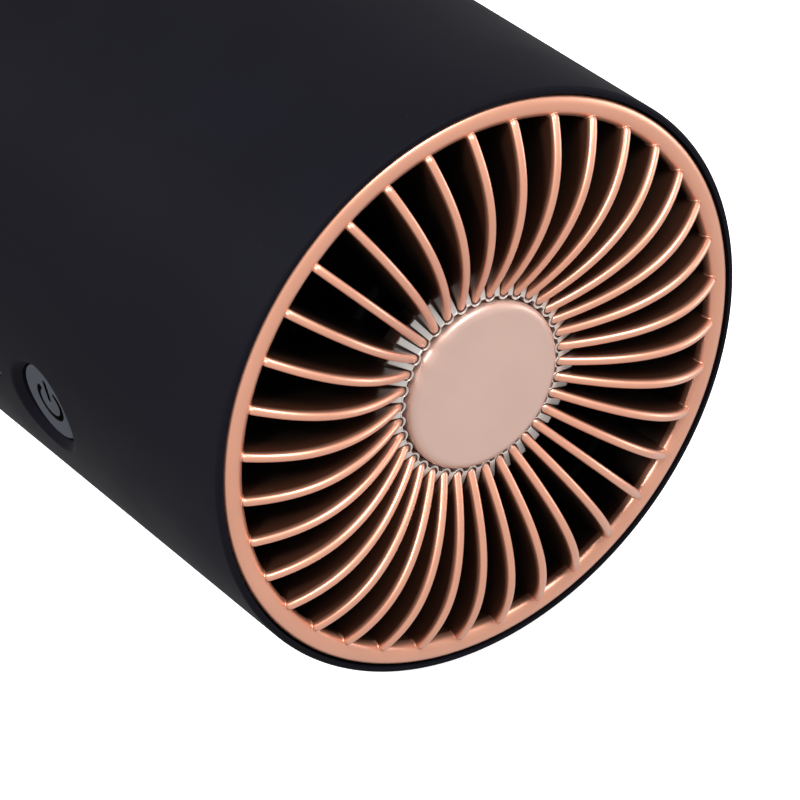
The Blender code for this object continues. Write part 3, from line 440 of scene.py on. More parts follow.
screwTurns = (45, 135, 225, 315)  # degrees, of the rear cover's screws and their bosses
button = {"turn": math.radians(-104)} | inMetres(
    depth=54.15, recess=7.45, flare=1.35, flareSoftness=0.22, radius=7.15, face=50.3, bottom=47.3,
    flange=8.75, flangeThickness=1.2, edge=0.45, slotAt=15.1, slotLength=5.0, slotWidth=1.2,
    slotEdge=0.15, slotMargin=1.7)
shell = {"columns": 360, "windowColumns": 13, "slotColumns": 4} | inMetres(
    edgeRadial=0.7, edgeAxial=0.8, seatWall=1.1, frontSeat=8.0, rearSeat=4.0, ribFront=38.3, ribBack=40.3,
    ribWidth=5.3, windowMargin=3.75)
shell["boss"] = inMetres(radius=3.0, at=46.5, reach=48.6, front=129, edge=0.3, hole=1.4, holeDepth=12)
shell["post"] = inMetres(radius=2.4, across=18.5, depths=(104.5, 135.5), foot=-47.6, top=-34.3, edge=0.2,
                         hole=1.0, holeDepth=6)


def shellProfile(windowDepths):
    # (radius, depth): outside with rounded ends, rear seat, inside with the rib, front seat
    outer, inner = drum["radius"], drum["radius"] - drum["wall"]
    seat, lip = outer - shell["seatWall"], outer - shell["edgeRadial"]
    back, axial = drum["length"], shell["edgeAxial"]
    rib = inner - shell["ribWidth"]
    start, middle, end = windowDepths[0], windowDepths[-1], back - axial
    outside = [np.array([[lip, 0.0]]), quarter((lip, 0), (outer, axial), 10),
               line((outer, axial), (outer, start), 10),
               np.array([[outer, depth] for depth in windowDepths[1:]]),
               line((outer, middle), (outer, end), 14),
               quarter((outer, end), (lip, back), 10, outFirst=False)]
    inside = [np.array([[seat, back]]), line((seat, back), (seat, back - shell["rearSeat"]), 3),
              np.array([[inner, back - shell["rearSeat"]]]),
              line((inner, back - shell["rearSeat"]), (inner, middle), 14),
              np.array([[inner, depth] for depth in windowDepths[-2::-1]]),
              np.array([[inner, shell["ribBack"]], [rib, shell["ribBack"]],
                        [rib, shell["ribFront"]], [inner, shell["ribFront"]]]),
              line((inner, shell["ribFront"]), (inner, shell["frontSeat"]), 6),
              np.array([[seat, shell["frontSeat"]]]), line((seat, shell["frontSeat"]), (seat, 0), 4)]
    return np.concatenate(outside + inside)


def sidePatch(across, along, outline, lip, steps):
    # a hole through the drum's wall, square to the button's face: plane points are (across, depth)
    def lifted(radius, direction):
        def lift(points, sink):
            height = np.sqrt(radius**2 - points[..., 0] ** 2) + direction * sink
            return standing(button["turn"], points[..., 0], height, points[..., 1])
        return lift

    outer, inner = drum["radius"], drum["radius"] - drum["wall"]
    above = holeRows(borderOf(outer * np.sin(across), along), outline, lifted(outer, -1), lip, steps)
    below = holeRows(borderOf(inner * np.sin(across), along), outline, lifted(inner, 1),
                     roundedLip(0), steps)
    return patch(np.concatenate([above, below[::-1]]), ring=True)


def bossPatches():
    # screw bosses inside the rear end: capsules from the screw's hole out into the wall
    boss, made = shell["boss"], []
    back = drum["length"] - shell["rearSeat"]
    at, reach, radius, hole, front = (boss[key] for key in ("at", "reach", "radius", "hole", "front"))
    floor = back - boss["holeDepth"]
    rows = [(at, at, 0, front), (at, reach, radius - boss["edge"], front),
            (at, reach, radius, front + boss["edge"]), (at, reach, radius, back),
            (at, at, hole, back), (at, at, hole, floor), (at, at, 0, floor)]
    for turn in screwTurns:
        made.append(patch(capsuleStack(rows, placeAt(math.radians(turn))), ring=True))
    return made


def postPatches():
    # round posts that carry the control board, up from the wall at the bottom of the drum
    post, made = shell["post"], []
    radius, hole, top, edge = post["radius"], post["hole"], post["top"], post["edge"]
    floor = top - post["holeDepth"]
    turned = [(0, post["foot"]), (radius, post["foot"]), (radius, top - edge), (radius - edge, top),
              (hole, top), (hole, floor), (0, floor)]
    rows = [(0, 0, *corner) for corner in turned]
    for across in (-post["across"], post["across"]):
        for depth in post["depths"]:
            def place(outline, height):
                return placed(across + outline[:, 0], depth + outline[:, 1], height)
            made.append(patch(capsuleStack(rows, place), ring=True))
    return made


def makeShell():
    # the drum's wall as a turned profile, with the two windows of the recess and the slot left open in it
    step = 2 * math.pi / shell["columns"]
    recessReach = button["recess"] + shell["windowMargin"]
    recessDepths = np.linspace(button["depth"] - recessReach, button["depth"] + recessReach, 25)
    slotEnd = button["depth"] + button["slotAt"] + button["slotLength"] / 2 + button["slotMargin"]
    slotDepths = np.linspace(recessDepths[-1], slotEnd, 10)
    profile = shellProfile(np.concatenate([recessDepths, slotDepths[1:]]))
    turns = button["turn"] - math.pi + step * np.arange(shell["columns"])
    points = inDrum(profile[:, :1], turns[None, :], profile[:, 1:])

    following = np.roll(profile, -1, 0)
    rowRadius, rowDepth = ((profile + following) / 2).T
    column = np.arange(shell["columns"]) + 0.5 - shell["columns"] / 2
    onWall = rowRadius > drum["radius"] - drum["wall"] - 0.1 * mm
    keep = np.ones((len(profile), shell["columns"]), bool)
    for depths, reach in ((recessDepths, shell["windowColumns"]), (slotDepths, shell["slotColumns"])):
        inRows = onWall & (rowDepth > depths[0]) & (rowDepth < depths[-1])
        keep &= ~(inRows[:, None] & (np.abs(column) < reach)[None, :])

    wide, narrow = shell["windowColumns"], shell["slotColumns"]
    recess = sidePatch(
        step * np.arange(-wide, wide + 1), recessDepths,
        lambda grow: roundOutline(2 * wide, 24, button["recess"] + grow, centre=(0, button["depth"])),
        flaredLip(button["flare"], button["flareSoftness"]), 8)
    half = (button["slotLength"] - button["slotWidth"]) / 2
    slotCentre = (0, button["depth"] + button["slotAt"])
    slot = sidePatch(
        step * np.arange(-narrow, narrow + 1), slotDepths,
        lambda grow: roundOutline(2 * narrow, 9, button["slotWidth"] / 2 + grow, half, slotCentre),
        roundedLip(button["slotEdge"]), 6)
    supports = bossPatches() + postPatches()
    wall = patch(points, ring=True, loop=True, keep=keep)
    makePiece("drumShell", [wall, recess, slot] + supports, "shell", "shell")


makeShell()
print("shell made")


# grille: "pale" and the sheen lengths give a painted sheen toward silver at the vanes' inner ends
grille = {"vanes": 36, "firstTurn": math.radians(5.8), "climbPower": 0.92, "fallReach": 1.12,
          "rootEase": 0.25, "sidePower": 1.8, "pale": 0.35} | inMetres(
    thickness=1.5, crown=4.9, crownRadius=34.3, root=15.6, dip=1.3, tipRadius=47.8, depth=12.5,
    fillet=0.32, filletDepth=4.0, paleFrom=16.4, paleRun=0.8)
# rim: "fade" gives where painted shade starts on the inner wall and how far it runs
rim = inMetres(radius=50.48, inner=46.9, crest=0.3, outerEdge=(1.7, 1.0), innerEdge=(1.8, 1.3),
               backRadius=49.5, stepDepth=7.7, fade=(1.5, 2.0))
hub = {"toothHalf": math.radians(1.95), "toothEdge": math.radians(0.3)} | inMetres(
    lip=16.1, lipDepth=1.15, radius=20.2, edgeDepth=2.3, arch=0.98, floorDrop=0.6, beadRise=0.10,
    wall=0.35, wallStep=2.2, webFront=4.0, webBack=5.6, pinHole=2.8, toothDepths=(2.6, 3.0, 3.6, 4.4, 5.6))
hub["toothThinning"] = (0.06, 0.25, 0.6, 1, 1)  # how much painted shade the tooth's end wall gets at each of those depths


def vaneHeight(radius):
    # the front edge climbs like a sine from its root to the crown, then falls as a parabola to the rim
    root, crown = grille["root"], grille["crownRadius"]
    climb = np.clip((radius - root) / (crown - root), 0, 1)
    rise = (grille["crown"] + grille["dip"]) * np.sin(np.pi / 2 * climb) ** grille["climbPower"]
    fall = (radius - crown) / (grille["fallReach"] * (rim["inner"] - crown))
    return np.where(radius < crown, rise - grille["dip"], grille["crown"] * (1 - fall**2))


def shadeFromDepth(behind, start=0.45 * mm, run=5.0 * mm):
    # painted shade: how dark a surface is painted, from its depth behind the nearest front edge
    return np.clip((behind - start) / run, 0, 1)


def rimProfile():
    # (radius, depth): outside, a crowned front between two quarter ellipses, the inner wall, a step behind
    outer, inner, back = rim["radius"], rim["inner"], grille["depth"]
    (outRadial, outAxial), (inRadial, inAxial) = rim["outerEdge"], rim["innerEdge"]
    crestOut, crestIn = (outer - outRadial, -rim["crest"]), (inner + inRadial, -rim["crest"])
    edge, wall = (outer, outAxial - rim["crest"]), (inner, inAxial - rim["crest"])
    return np.concatenate([
        np.array([[outer, rim["stepDepth"]], [outer, 3 * mm], edge]),
        quarter(edge, crestOut, 14, outFirst=False), line(crestOut, crestIn, 2),
        quarter(crestIn, wall, 16), line(wall, (inner, back), 16),
        np.array([[rim["backRadius"], back], [rim["backRadius"], rim["stepDepth"]]])])


def rimPatch():
    profile = rimProfile()
    # the inner wall gets painted shade, darker with depth
    inside = (profile[:, 0] < rim["inner"] + 0.01 * mm)[:, None]
    deep = np.where(inside, shadeFromDepth(profile[:, 1:], *rim["fade"]), 0)
    return turnedPatch(profile, 360, deep=deep, pale=0)


def vanePatch(turn):
    # a section across the vane, a round nose on straight sides, carried along its radius; in plan both
    # ends are half circles, and the nose drops there as a quarter circle
    half = grille["thickness"] / 2
    inner, tip = grille["root"], grille["tipRadius"]
    ends = half * (1 - np.cos(np.linspace(0, np.pi / 2, 9)))
    radius = np.concatenate([inner + ends, np.linspace(inner + half, tip - half, 44)[1:-1],
                             (tip - ends)[::-1]])[:, None]
    toEnd = np.clip(np.maximum(inner + half - radius, radius - tip + half) / half, 0, 1)
    width = half * np.sqrt(1 - toEnd**2)
    edge = half * (1 - np.sqrt(1 - toEnd**2))
    front = -vaneHeight(radius) + edge * np.where(radius < grille["crownRadius"], grille["rootEase"], 1)
    back = grille["depth"] - drum["gap"]

    around = np.linspace(-np.pi / 2, np.pi / 2, 13)
    down = np.linspace(0, 1, 11)[1:]
    across = np.concatenate([np.sin(around), np.ones(10), -np.ones(10)])
    nose = front + half * (1 - np.cos(around))
    side = front + half + (back - front - half) * down ** grille["sidePower"]
    depth = np.concatenate([nose, side, side[:, ::-1]], 1)
    sideways = width * across
    # painted sheen toward silver at the vane's inner end; painted shade darkens its sides with depth
    pale = grille["pale"] * np.clip((grille["paleFrom"] - radius) / grille["paleRun"], 0, 1)
    return patch(standing(turn, sideways, radius, depth), ring=True,
                 deep=shadeFromDepth(depth + vaneHeight(radius)), pale=pale)


def rimTrack():
    # the rim's inner face as a curve, from deep on the wall forward: its arc length, (radius, depth), normal
    profile = rimProfile()
    first = int(np.argmax(profile[:, 1] <= -rim["crest"] + 1e-9))
    last = int(np.argmax(profile[:, 0] <= rim["inner"] + 1e-9)) + 8
    track = profile[first:last][::-1]
    step = np.gradient(track, axis=0)
    step /= np.linalg.norm(step, axis=1)[:, None]
    length = np.concatenate([[0], np.cumsum(np.linalg.norm(np.diff(track, axis=0), axis=1))])
    return length, track, np.stack([step[:, 1], -step[:, 0]], -1)


def filletPatch(turn):
    # a concave fillet round the foot of a vane, on the rim: an outline with a round end on the rim's
    # unrolled face, and a quarter circle from the vane's side down to that face, with a buried corner
    length, track, normal = rimTrack()
    half = grille["thickness"] / 2
    tip = np.interp(grille["tipRadius"], track[:, 0], length)
    deepEnd = np.interp(-grille["filletDepth"], -track[::-1, 1], length[::-1])
    straight = np.linspace(deepEnd, tip - half, 18)
    plain = np.ones(len(straight))
    around = np.linspace(0, np.pi, 13)[1:-1]
    along = np.concatenate([straight, tip - half + half * np.sin(around), straight[::-1]])
    side = half * np.concatenate([plain, np.cos(around), -plain])
    outAlong = np.concatenate([0 * plain, np.sin(around), 0 * plain])
    outSide = np.concatenate([plain, np.cos(around), -plain])
    # it grows over the first few points at each deep end, and is smallest at the vane's tip
    fromEnd = np.minimum(np.arange(len(along)), np.arange(len(along))[::-1])
    size = grille["fillet"] * np.clip(fromEnd / 5, 0, 1) * np.clip(1.25 - fromEnd / 22 * 0.8, 0, 1)
    arc = np.linspace(0, np.pi / 2, 6)
    offset = np.concatenate([1 - np.cos(arc), [-0.4]])
    height = np.concatenate([1 - np.sin(arc), [-0.5]])
    reach = along[:, None] + outAlong[:, None] * offset * size[:, None]
    sideways = side[:, None] + outSide[:, None] * offset * size[:, None]
    above = height * size[:, None]
    radius, depth = np.interp(reach, length, track[:, 0]), np.interp(reach, length, track[:, 1])
    normalR, normalD = np.interp(reach, length, normal[:, 0]), np.interp(reach, length, normal[:, 1])
    radius, depth = radius + normalR * above, depth + normalD * above
    # painted shade, darker with depth down the rim's inner wall
    return patch(standing(turn, sideways, radius, depth), ring=True, deep=shadeFromDepth(depth, *rim["fade"]),
                 pale=0)


def hubPatch():
    # a dished ring with a tooth between each two vanes and a thin bead that arches round each vane's end:
    # its radius and depth are worked out for each turn, from the bead out over the tooth and down its end
    pitch = 2 * np.pi / grille["vanes"]
    edges = hub["toothHalf"] + hub["toothEdge"] * np.array([-1.6, -1, -0.5, 0, 0.5, 1, 1.6])
    toTooth = np.linspace(0, pitch / 2 - edges[-1], 12)
    overTooth = np.linspace(pitch / 2 - edges[0], pitch / 2, 4)
    fromVane = np.unique(np.concatenate([toTooth, pitch / 2 - edges, overTooth]))
    offsets = np.concatenate([-fromVane[:0:-1], fromVane[:-1]])
    turn = (grille["firstTurn"] + pitch * np.arange(grille["vanes"])[:, None] + offsets).ravel()
    offset = np.tile(np.abs(offsets), grille["vanes"])

    # the bead's line: an arch round the vane's end, or the tooth's inner edge, whichever lies further in
    centre = grille["root"] + grille["thickness"] / 2
    lateral = centre * np.sin(offset)
    inArch = lateral < hub["arch"]
    arch = centre * np.cos(offset) - np.sqrt(np.clip(hub["arch"] ** 2 - lateral**2, 0, None))
    bead = np.where(inArch, np.minimum(arch, hub["lip"]), hub["lip"])
    intoTooth = hub["toothHalf"] + hub["toothEdge"] - (pitch / 2 - offset)
    tooth = np.clip(intoTooth / (2 * hub["toothEdge"]), 0, 1)
    tooth = tooth * tooth * (3 - 2 * tooth)

    slope = (hub["edgeDepth"] - hub["lipDepth"]) / (hub["radius"] - hub["lip"])
    rows = []

    def row(*values):
        # adds a row of the ring: its radius, its depth, how silver it is and how much painted shade it gets
        rows.append([np.broadcast_to(value, turn.shape) for value in values])

    wall, beadFoot = bead - hub["wall"], hub["lipDepth"] + 0.05 * mm
    row(wall, hub["webFront"], 0.3, 0.1)
    row(wall, hub["wallStep"], 0.5, 0)
    row(wall, hub["lipDepth"] + 0.15 * mm, 1, 0)
    for sweep in np.linspace(0, np.pi, 9):
        depth = beadFoot - hub["beadRise"] * math.sin(sweep)
        row(bead - hub["wall"] * (1 + math.cos(sweep)) / 2, depth, 1, 0)
    for share in np.linspace(0, 1, 13)[1:]:
        radius = bead * (1 - share) + hub["radius"] * share
        top = hub["lipDepth"] + slope * np.clip(radius - hub["lip"], 0, None)
        floor = top + hub["floorDrop"] * min(1, share * 6)
        edge = 0.12 * mm * max(0, share * 12 - 11)
        # the floor beside each tooth is painted darker as painted shade
        row(radius, top * tooth + floor * (1 - tooth) + edge, 1, 0.8 * (1 - tooth))
    for depth, deep in zip(hub["toothDepths"], hub["toothThinning"]):
        row(hub["radius"] + 0.05 * mm, np.maximum(depth, rows[-1][1] + 0.02 * mm), 1, deep)
    # the web behind is painted fully dark as painted shade
    row(hub["pinHole"], hub["webBack"], 0, 1)
    row(hub["pinHole"], hub["webFront"], 0, 1)
    radius, depth, pale, deep = np.swapaxes(np.array(rows), 0, 1)
    return patch(inDrum(radius, turn[None, :], depth), ring=True, loop=True, deep=deep, pale=pale)


def makeGrille():
    turns = grille["firstTurn"] + 2 * np.pi * np.arange(grille["vanes"]) / grille["vanes"]
    made = {"grilleRim": [rimPatch()] + [filletPatch(turn) for turn in turns],
            "grilleVanes": [vanePatch(turn) for turn in turns], "grilleHub": [hubPatch()]}
    for name, patches in made.items():
        makePiece(name, patches, "roseGold", "front_grille")


makeGrille()
print("grille made")


cap = inMetres(radius=14.9, face=-0.25, dome=0.10, edge=(1.7, 1.3), back=3.7, pinRadius=2.5, pinBack=6.6)


def makeHubCap():
    # a slightly domed face that falls as a parabola, then a quarter round edge, a side and a pin behind
    face = np.linspace(0, cap["radius"] - cap["edge"][0], 26)
    dome = cap["face"] + cap["dome"] * (face / face[-1]) ** 2
    sideFront = (cap["radius"], dome[-1] + cap["edge"][1])
    profile = np.concatenate([
        np.stack([face, dome], -1), quarter((face[-1], dome[-1]), sideFront, 12),
        line(sideFront, (cap["radius"], cap["back"]), 4),
        [[cap["pinRadius"], cap["back"]], [cap["pinRadius"], cap["pinBack"]], [0, cap["pinBack"]]]])
    makePiece("hubCap", [turnedPatch(profile, 240, loop=False)], "champagne", "hub_cap")


makeHubCap()
print("hub cap made")


# the common power symbol, an open ring with a bar in its gap; each stroke is its width and its corners
# (forward, up) in millimetres from the button's centre
ringTurns = np.radians(np.linspace(42, 318, 47))
symbol = {"depth": 0.14 * mm, "softness": 0.12 * mm, "strokes": (
    (0.9, np.stack([3.2 * np.sin(ringTurns), 3.2 * np.cos(ringTurns)], axis=1)),
    (0.9, ((0.0, 0.6), (0.0, 4.2))))}


def symbolDepth(forward, up):
    # how deep the symbol is engraved: full within a stroke, eased out at its edge
    deepest = np.zeros(forward.shape)
    for width, corners in symbol["strokes"]:
        width, corners = width * mm, np.array(corners) * mm
        for start, end in zip(corners, corners[1:]):
            run = end - start
            share = ((forward - start[0]) * run[0] + (up - start[1]) * run[1]) / (run @ run)
            share = np.clip(share, 0, 1)
            away = np.hypot(forward - start[0] - share * run[0], up - start[1] - share * run[1])
            deepest = np.maximum(deepest, np.clip((width / 2 - away) / symbol["softness"] + 0.5, 0, 1))
    return deepest


def makeButton():
    # a disc with a round edge on a flange, from (radius, height) rings around the line of its press
    columns = 288
    radius, edge, bottom = button["radius"], button["edge"], button["bottom"]
    flangeTop = bottom + button["flangeThickness"]
    face = np.linspace(0, radius - edge, 70)
    arc = np.linspace(0, np.pi / 2, 9)[1:]
    rings = np.concatenate([
        np.stack([face, np.full(len(face), button["face"])], -1),
        np.stack([radius - edge * (1 - np.sin(arc)), button["face"] - edge * (1 - np.cos(arc))], -1),
        [[radius, flangeTop], [button["flange"], flangeTop], [button["flange"], bottom], [0, bottom]]])
    turn = 2 * np.pi * np.arange(columns) / columns
    forward, up = rings[:, :1] * np.cos(turn), rings[:, :1] * np.sin(turn)
    onFace = (np.arange(len(rings)) < len(face))[:, None]
    engraved = np.where(onFace, symbolDepth(forward, up), 0)
    height = rings[:, 1:] - symbol["depth"] * engraved
    points = standing(button["turn"], up, height, button["depth"] - forward)
    painted = patch(points, ring=True, mark=np.clip(engraved * 5, 0, 1))
    makePiece("buttonCap", [painted], "button", "button_cap", body="button")


makeButton()
print("button made")


impeller = {"blades": 7, "rootPitch": math.radians(48), "tipPitch": math.radians(24), "rootReach": 0.72,
            "edgeThickness": 0.35, "rootSweep": 0.45, "tipSweep": 0.70, "lean": 0.25} | inMetres(
    front=16.5, hub=16.5, hubDepth=15, wall=2, cavity=14.5, boss=3.2, bore=1.5, bossBack=4.5, tip=44.6,
    root=15.5, depth=12.5, thickness=1.6, bow=1.6, edge=2.2, face=1)


def bladePatch(start):
    # a bowed, twisted and swept blade: its closed section runs from hub to tip, and closes on its mid line
    share = np.concatenate([[0], np.linspace(0, 1, 30), [1]])[:, None]
    opened = np.ones((len(share), 1))
    opened[0], opened[-1] = 0, 0
    chord = (1 - np.cos(np.linspace(0, np.pi, 19))) / 2
    chords = np.concatenate([chord, chord[-2:0:-1]])
    side = np.concatenate([np.full(19, 1.0), np.full(17, -1.0)])
    side[0], side[18] = 0, 0
    radius = impeller["root"] + (impeller["tip"] - impeller["root"]) * share
    pitch = impeller["rootPitch"] + (impeller["tipPitch"] - impeller["rootPitch"]) * share
    reach = impeller["depth"] * (impeller["rootReach"] + (1 - impeller["rootReach"]) * share)
    belly = np.sin(np.pi * (0.15 + 0.7 * chords))
    half = impeller["thickness"] / 2 * (impeller["edgeThickness"] + (1 - impeller["edgeThickness"]) * belly)
    swept = impeller["rootSweep"] + (impeller["tipSweep"] - impeller["rootSweep"]) * share
    sweep = (chords - 0.5) * reach / np.tan(pitch) / radius * swept + impeller["lean"] * share
    depth = (chords - 0.5) * reach + impeller["bow"] * np.sin(np.pi * chords) * np.cos(pitch)
    depth = depth + side * half * opened
    middle = impeller["front"] + impeller["hubDepth"] / 2
    return patch(inDrum(radius, start + sweep, middle + depth), ring=True)


def makeImpeller():
    # a hub cup with a round front edge and a boss for the shaft, and the blades around it
    front, radius, edge = impeller["front"], impeller["hub"], impeller["edge"]
    cavity, boss, bore = impeller["cavity"], impeller["boss"], impeller["bore"]
    inner, back, boreEnd = front + impeller["wall"], front + impeller["hubDepth"], front + impeller["face"]
    bossBack = inner + impeller["bossBack"]
    profile = np.concatenate([
        [[0, front], [radius - edge, front]], quarter((radius - edge, front), (radius, front + edge), 10),
        [[radius, back], [cavity, back], [cavity, inner], [boss, inner], [boss, bossBack],
         [bore, bossBack], [bore, boreEnd], [0, boreEnd]]])
    blades = [bladePatch(2 * np.pi * step / impeller["blades"]) for step in range(impeller["blades"])]
    makePiece("impellerFan", [turnedPatch(profile, 120, loop=False)] + blades, "inside",
              "impeller", body="rotor")


makeImpeller()
print("impeller made")


# a pitch and a reach are in degrees, and a reach goes to both sides
cover = {"slotPitch": 15, "plainReach": 30, "socketReach": 15, "screwReach": 6} | inMetres(
    radius=50.6, rim=42.4, front=146.3, plateFront=146.8, plateBack=149.0, back=150.0, edge=0.8,
    slotWidth=3.2, slotInner=15.5, slotOuter=40.4, slotEdge=0.5, window=(14.4, 41.5),
    screwWindow=(43.5, 49.7), screwAt=46.5, sink=2.8, sinkSeat=147.5, hole=1.6, socketHigh=-30.5,
    socketWide=9.6, socketTall=3.8)


def aroundSlot(border, start, end, radius):
    # for each point of the border, the nearest point of a slot of this radius from start to end
    start, run = np.array(start), np.array(end) - np.array(start)
    share = np.clip(((border - start) @ run) / max(run @ run, 1e-12), 0, 1)[:, None]
    spine = start + share * run
    away = border - spine
    return spine + radius * away / np.linalg.norm(away, axis=1)[:, None]


def throughPatch(turn, reach, radii, start, end, rows, faces):
    # a window of the plate with a slot through it: rows are the slot's (radius, depth), back face to front
    across = np.radians(np.linspace(-reach, reach, round(2 * reach) + 1))
    polar = borderOf(across, radii)
    border = np.stack([polar[:, 1] * np.sin(polar[:, 0]), polar[:, 1] * np.cos(polar[:, 0])], -1)
    place = placeAt(math.radians(turn))

    def ring(share, radius, depth):
        return place(border * (1 - share) + aroundSlot(border, start, end, radius) * share, depth)

    made = [ring(share, rows[0][0], faces[0]) for share in np.linspace(0, 1, 5)[:-1]]
    made += [ring(1, radius, depth) for radius, depth in rows]
    made += [ring(share, rows[-1][0], faces[1]) for share in np.linspace(1, 0, 4)[1:]]
    return patch(np.stack(made), ring=True)


def slotRows(radius, back, front, edge):
    # a slot's wall from the back face through to the front, with a quarter circle at the back
    turn = np.linspace(0, np.pi / 2, 5)
    rounded = [(radius + edge * (1 - math.sin(t)), back - edge * (1 - math.cos(t))) for t in turn]
    return rounded + [(radius, front)]


def levelRow(radii, depth):
    # a stretch of a profile at one depth
    return np.stack([radii, np.full(len(radii), depth)], -1)


def coverProfile(windowRadii, rimRadii):
    # (radius, depth): the recessed plate and the raised rim from behind, then the flat front face
    outer, rimIn, edge, back = cover["radius"], cover["rim"], cover["edge"], cover["back"]
    plateRadii = np.concatenate([[0, 3 * mm, 7 * mm, 11 * mm], windowRadii])
    foot, lip = (rimIn - 0.5 * mm, cover["plateBack"]), (outer - edge, back)
    return np.concatenate([
        levelRow(plateRadii, cover["plateBack"]), [foot], quarter(foot, (rimIn + 1 * mm, back), 8),
        levelRow(rimRadii, back), [lip], quarter(lip, (outer, back - edge), 8),
        [[outer, cover["front"]]], levelRow(rimRadii[::-1], cover["front"]),
        [[rimIn + 0.5 * mm, cover["front"]], [rimIn, cover["plateFront"]]],
        levelRow(plateRadii[::-1], cover["plateFront"])])


def makeRearCover():
    windowRadii, rimRadii = np.linspace(*cover["window"], 19), np.linspace(*cover["screwWindow"], 7)
    profile = coverProfile(windowRadii, rimRadii)
    following = np.roll(profile, -1, 0)
    level = np.abs(profile[:, 1] - following[:, 1]) < 1e-7
    rowRadius = (profile[:, 0] + following[:, 0]) / 2
    degrees = np.arange(360) + 0.5
    fromLowest = np.abs(degrees - 180)
    plain = (fromLowest > cover["socketReach"]) & (fromLowest < cover["plainReach"])
    nearScrew = np.abs((degrees % 90) - 45) < cover["screwReach"]
    keep = np.ones((len(profile), len(degrees)), bool)
    for radii, opened in ((windowRadii, ~plain), (rimRadii, nearScrew)):
        inRows = level & (rowRadius > radii[0]) & (rowRadius < radii[-1])
        keep &= ~(inRows[:, None] & opened[None, :])
    patches = [turnedPatch(profile, len(degrees), loop=False, keep=keep[:-1])]

    faces = (cover["plateBack"], cover["plateFront"])
    half = cover["slotWidth"] / 2
    inner, outer = (0, cover["slotInner"] + half), (0, cover["slotOuter"] - half)
    slot = slotRows(half, *faces, cover["slotEdge"])
    reach = cover["slotPitch"] / 2
    for turn in np.arange(reach, 360, cover["slotPitch"]):
        if abs(turn - 180) > cover["plainReach"]:
            patches.append(throughPatch(turn, reach, windowRadii, inner, outer, slot, faces))
    end = (cover["socketWide"] - cover["socketTall"]) / 2
    left, right = (-end, -cover["socketHigh"]), (end, -cover["socketHigh"])
    mouth = slotRows(cover["socketTall"] / 2, *faces, 0.4 * mm)
    patches.append(throughPatch(180, cover["socketReach"], windowRadii, left, right, mouth, faces))
    sink = slotRows(cover["sink"], cover["back"], cover["sinkSeat"], 0.2 * mm)
    sink += [(cover["hole"], cover["sinkSeat"]), (cover["hole"], cover["front"])]
    centre = (0, cover["screwAt"])
    for turn in screwTurns:
        patches.append(throughPatch(turn, cover["screwReach"], rimRadii, centre, centre, sink,
                                    (cover["back"], cover["front"])))
    makePiece("rearCover", patches, "shell", "rear_cover")


makeRearCover()
print("rear cover made")


screw = inMetres(head=2.5, back=149.0, seat=147.8, shaft=1.3, length=12.0, ridge=0.14, pitch=0.9,
                 armWidth=0.75, armLength=2.7, sideEase=0.1, endEase=0.25, recess=0.8, edge=0.35,
                 crown=0.25, tip=0.3)
socket = inMetres(half=2.9, radius=1.6, wall=0.4, front=141, back=149, wellFloor=142.5, lip=0.15,
                  tongueHalf=2.6, tongueThickness=0.35, tongueBack=148.2)


def screwPatch(turn):
    # a pan head with a cross recess, and a shaft whose ridges are a triangle wave along it
    radius, seat, shaftRadius, edge = screw["head"], screw["seat"], screw["shaft"], screw["edge"]
    head = np.linspace(0, radius - edge, 26)
    crown = screw["back"] - screw["crown"] * (head / head[-1]) ** 2
    ridges = np.arange(0, screw["length"] - 1.5 * mm, screw["pitch"] / 2)
    shaft = shaftRadius - screw["ridge"] * (np.arange(len(ridges)) % 2)
    end = seat - screw["length"]
    profile = np.concatenate([
        np.stack([head, crown], -1), quarter((head[-1], crown[-1]), (radius, seat + edge), 7),
        [[radius, seat], [shaftRadius, seat]], np.stack([shaft, seat - 0.05 * mm - ridges], -1),
        [[screw["tip"], end], [0, end]]])
    around = 2 * np.pi * np.arange(96) / 96
    across, outwards = profile[:, :1] * np.sin(around), profile[:, :1] * np.cos(around)

    def arm(sideways, along):
        # one bar of the cross, eased out at its sides and its ends
        return (np.clip((screw["armWidth"] / 2 - np.abs(sideways)) / screw["sideEase"], 0, 1)
                * np.clip((screw["armLength"] / 2 - np.abs(along)) / screw["endEase"], 0, 1))

    onHead = (np.arange(len(profile)) < len(head))[:, None]
    cross = np.where(onHead, np.maximum(arm(across, outwards), arm(outwards, across)), 0)
    depth = profile[:, 1:] - screw["recess"] * cross
    return patch(standing(turn, across, outwards + cover["screwAt"], depth), ring=True)


def makeScrews():
    for count, turn in enumerate(screwTurns, 1):
        made = screwPatch(math.radians(turn))
        makePiece(f"coverScrew{count}", [made], "darkSteel", f"cover_screw_{count}")


def makeSocket():
    # a drawn steel shell with a rounded mouth, and a flat tongue with round ends inside it
    def place(outline, depth):
        return placed(outline[:, 1], depth, cover["socketHigh"] + outline[:, 0])
    outer, inner = socket["radius"], socket["radius"] - socket["wall"]
    front, back, floor, lip = socket["front"], socket["back"], socket["wellFloor"], socket["lip"]
    can = [(0, front), (outer - lip, front), (outer, front + lip), (outer, back - lip),
           (outer - lip * 0.3, back - lip * 0.3), (outer - lip, back), (inner + lip * 0.3, back - lip * 0.3),
           (inner, back - lip), (inner, floor), (0, floor)]
    thin, root, tip, edge = socket["tongueThickness"], floor - 0.3 * mm, socket["tongueBack"], 0.1 * mm
    tongue = [(0, root), (thin, root), (thin, tip - edge), (thin - edge, tip), (0, tip)]
    made = []
    for half, corners in ((socket["half"], can), (socket["tongueHalf"] - thin, tongue)):
        rows = [(-half, half, *corner) for corner in corners]
        made.append(patch(capsuleStack(rows, place), ring=True))
    makePiece("powerSocket", made, "steel", "power_socket")


makeScrews()
makeSocket()
print("screws and socket made")


foot = inMetres(centre=14, half=3.5, start=14, end=136, edge=0.6, topRadius=52.4, ribs=4, ribDepth=0.25)


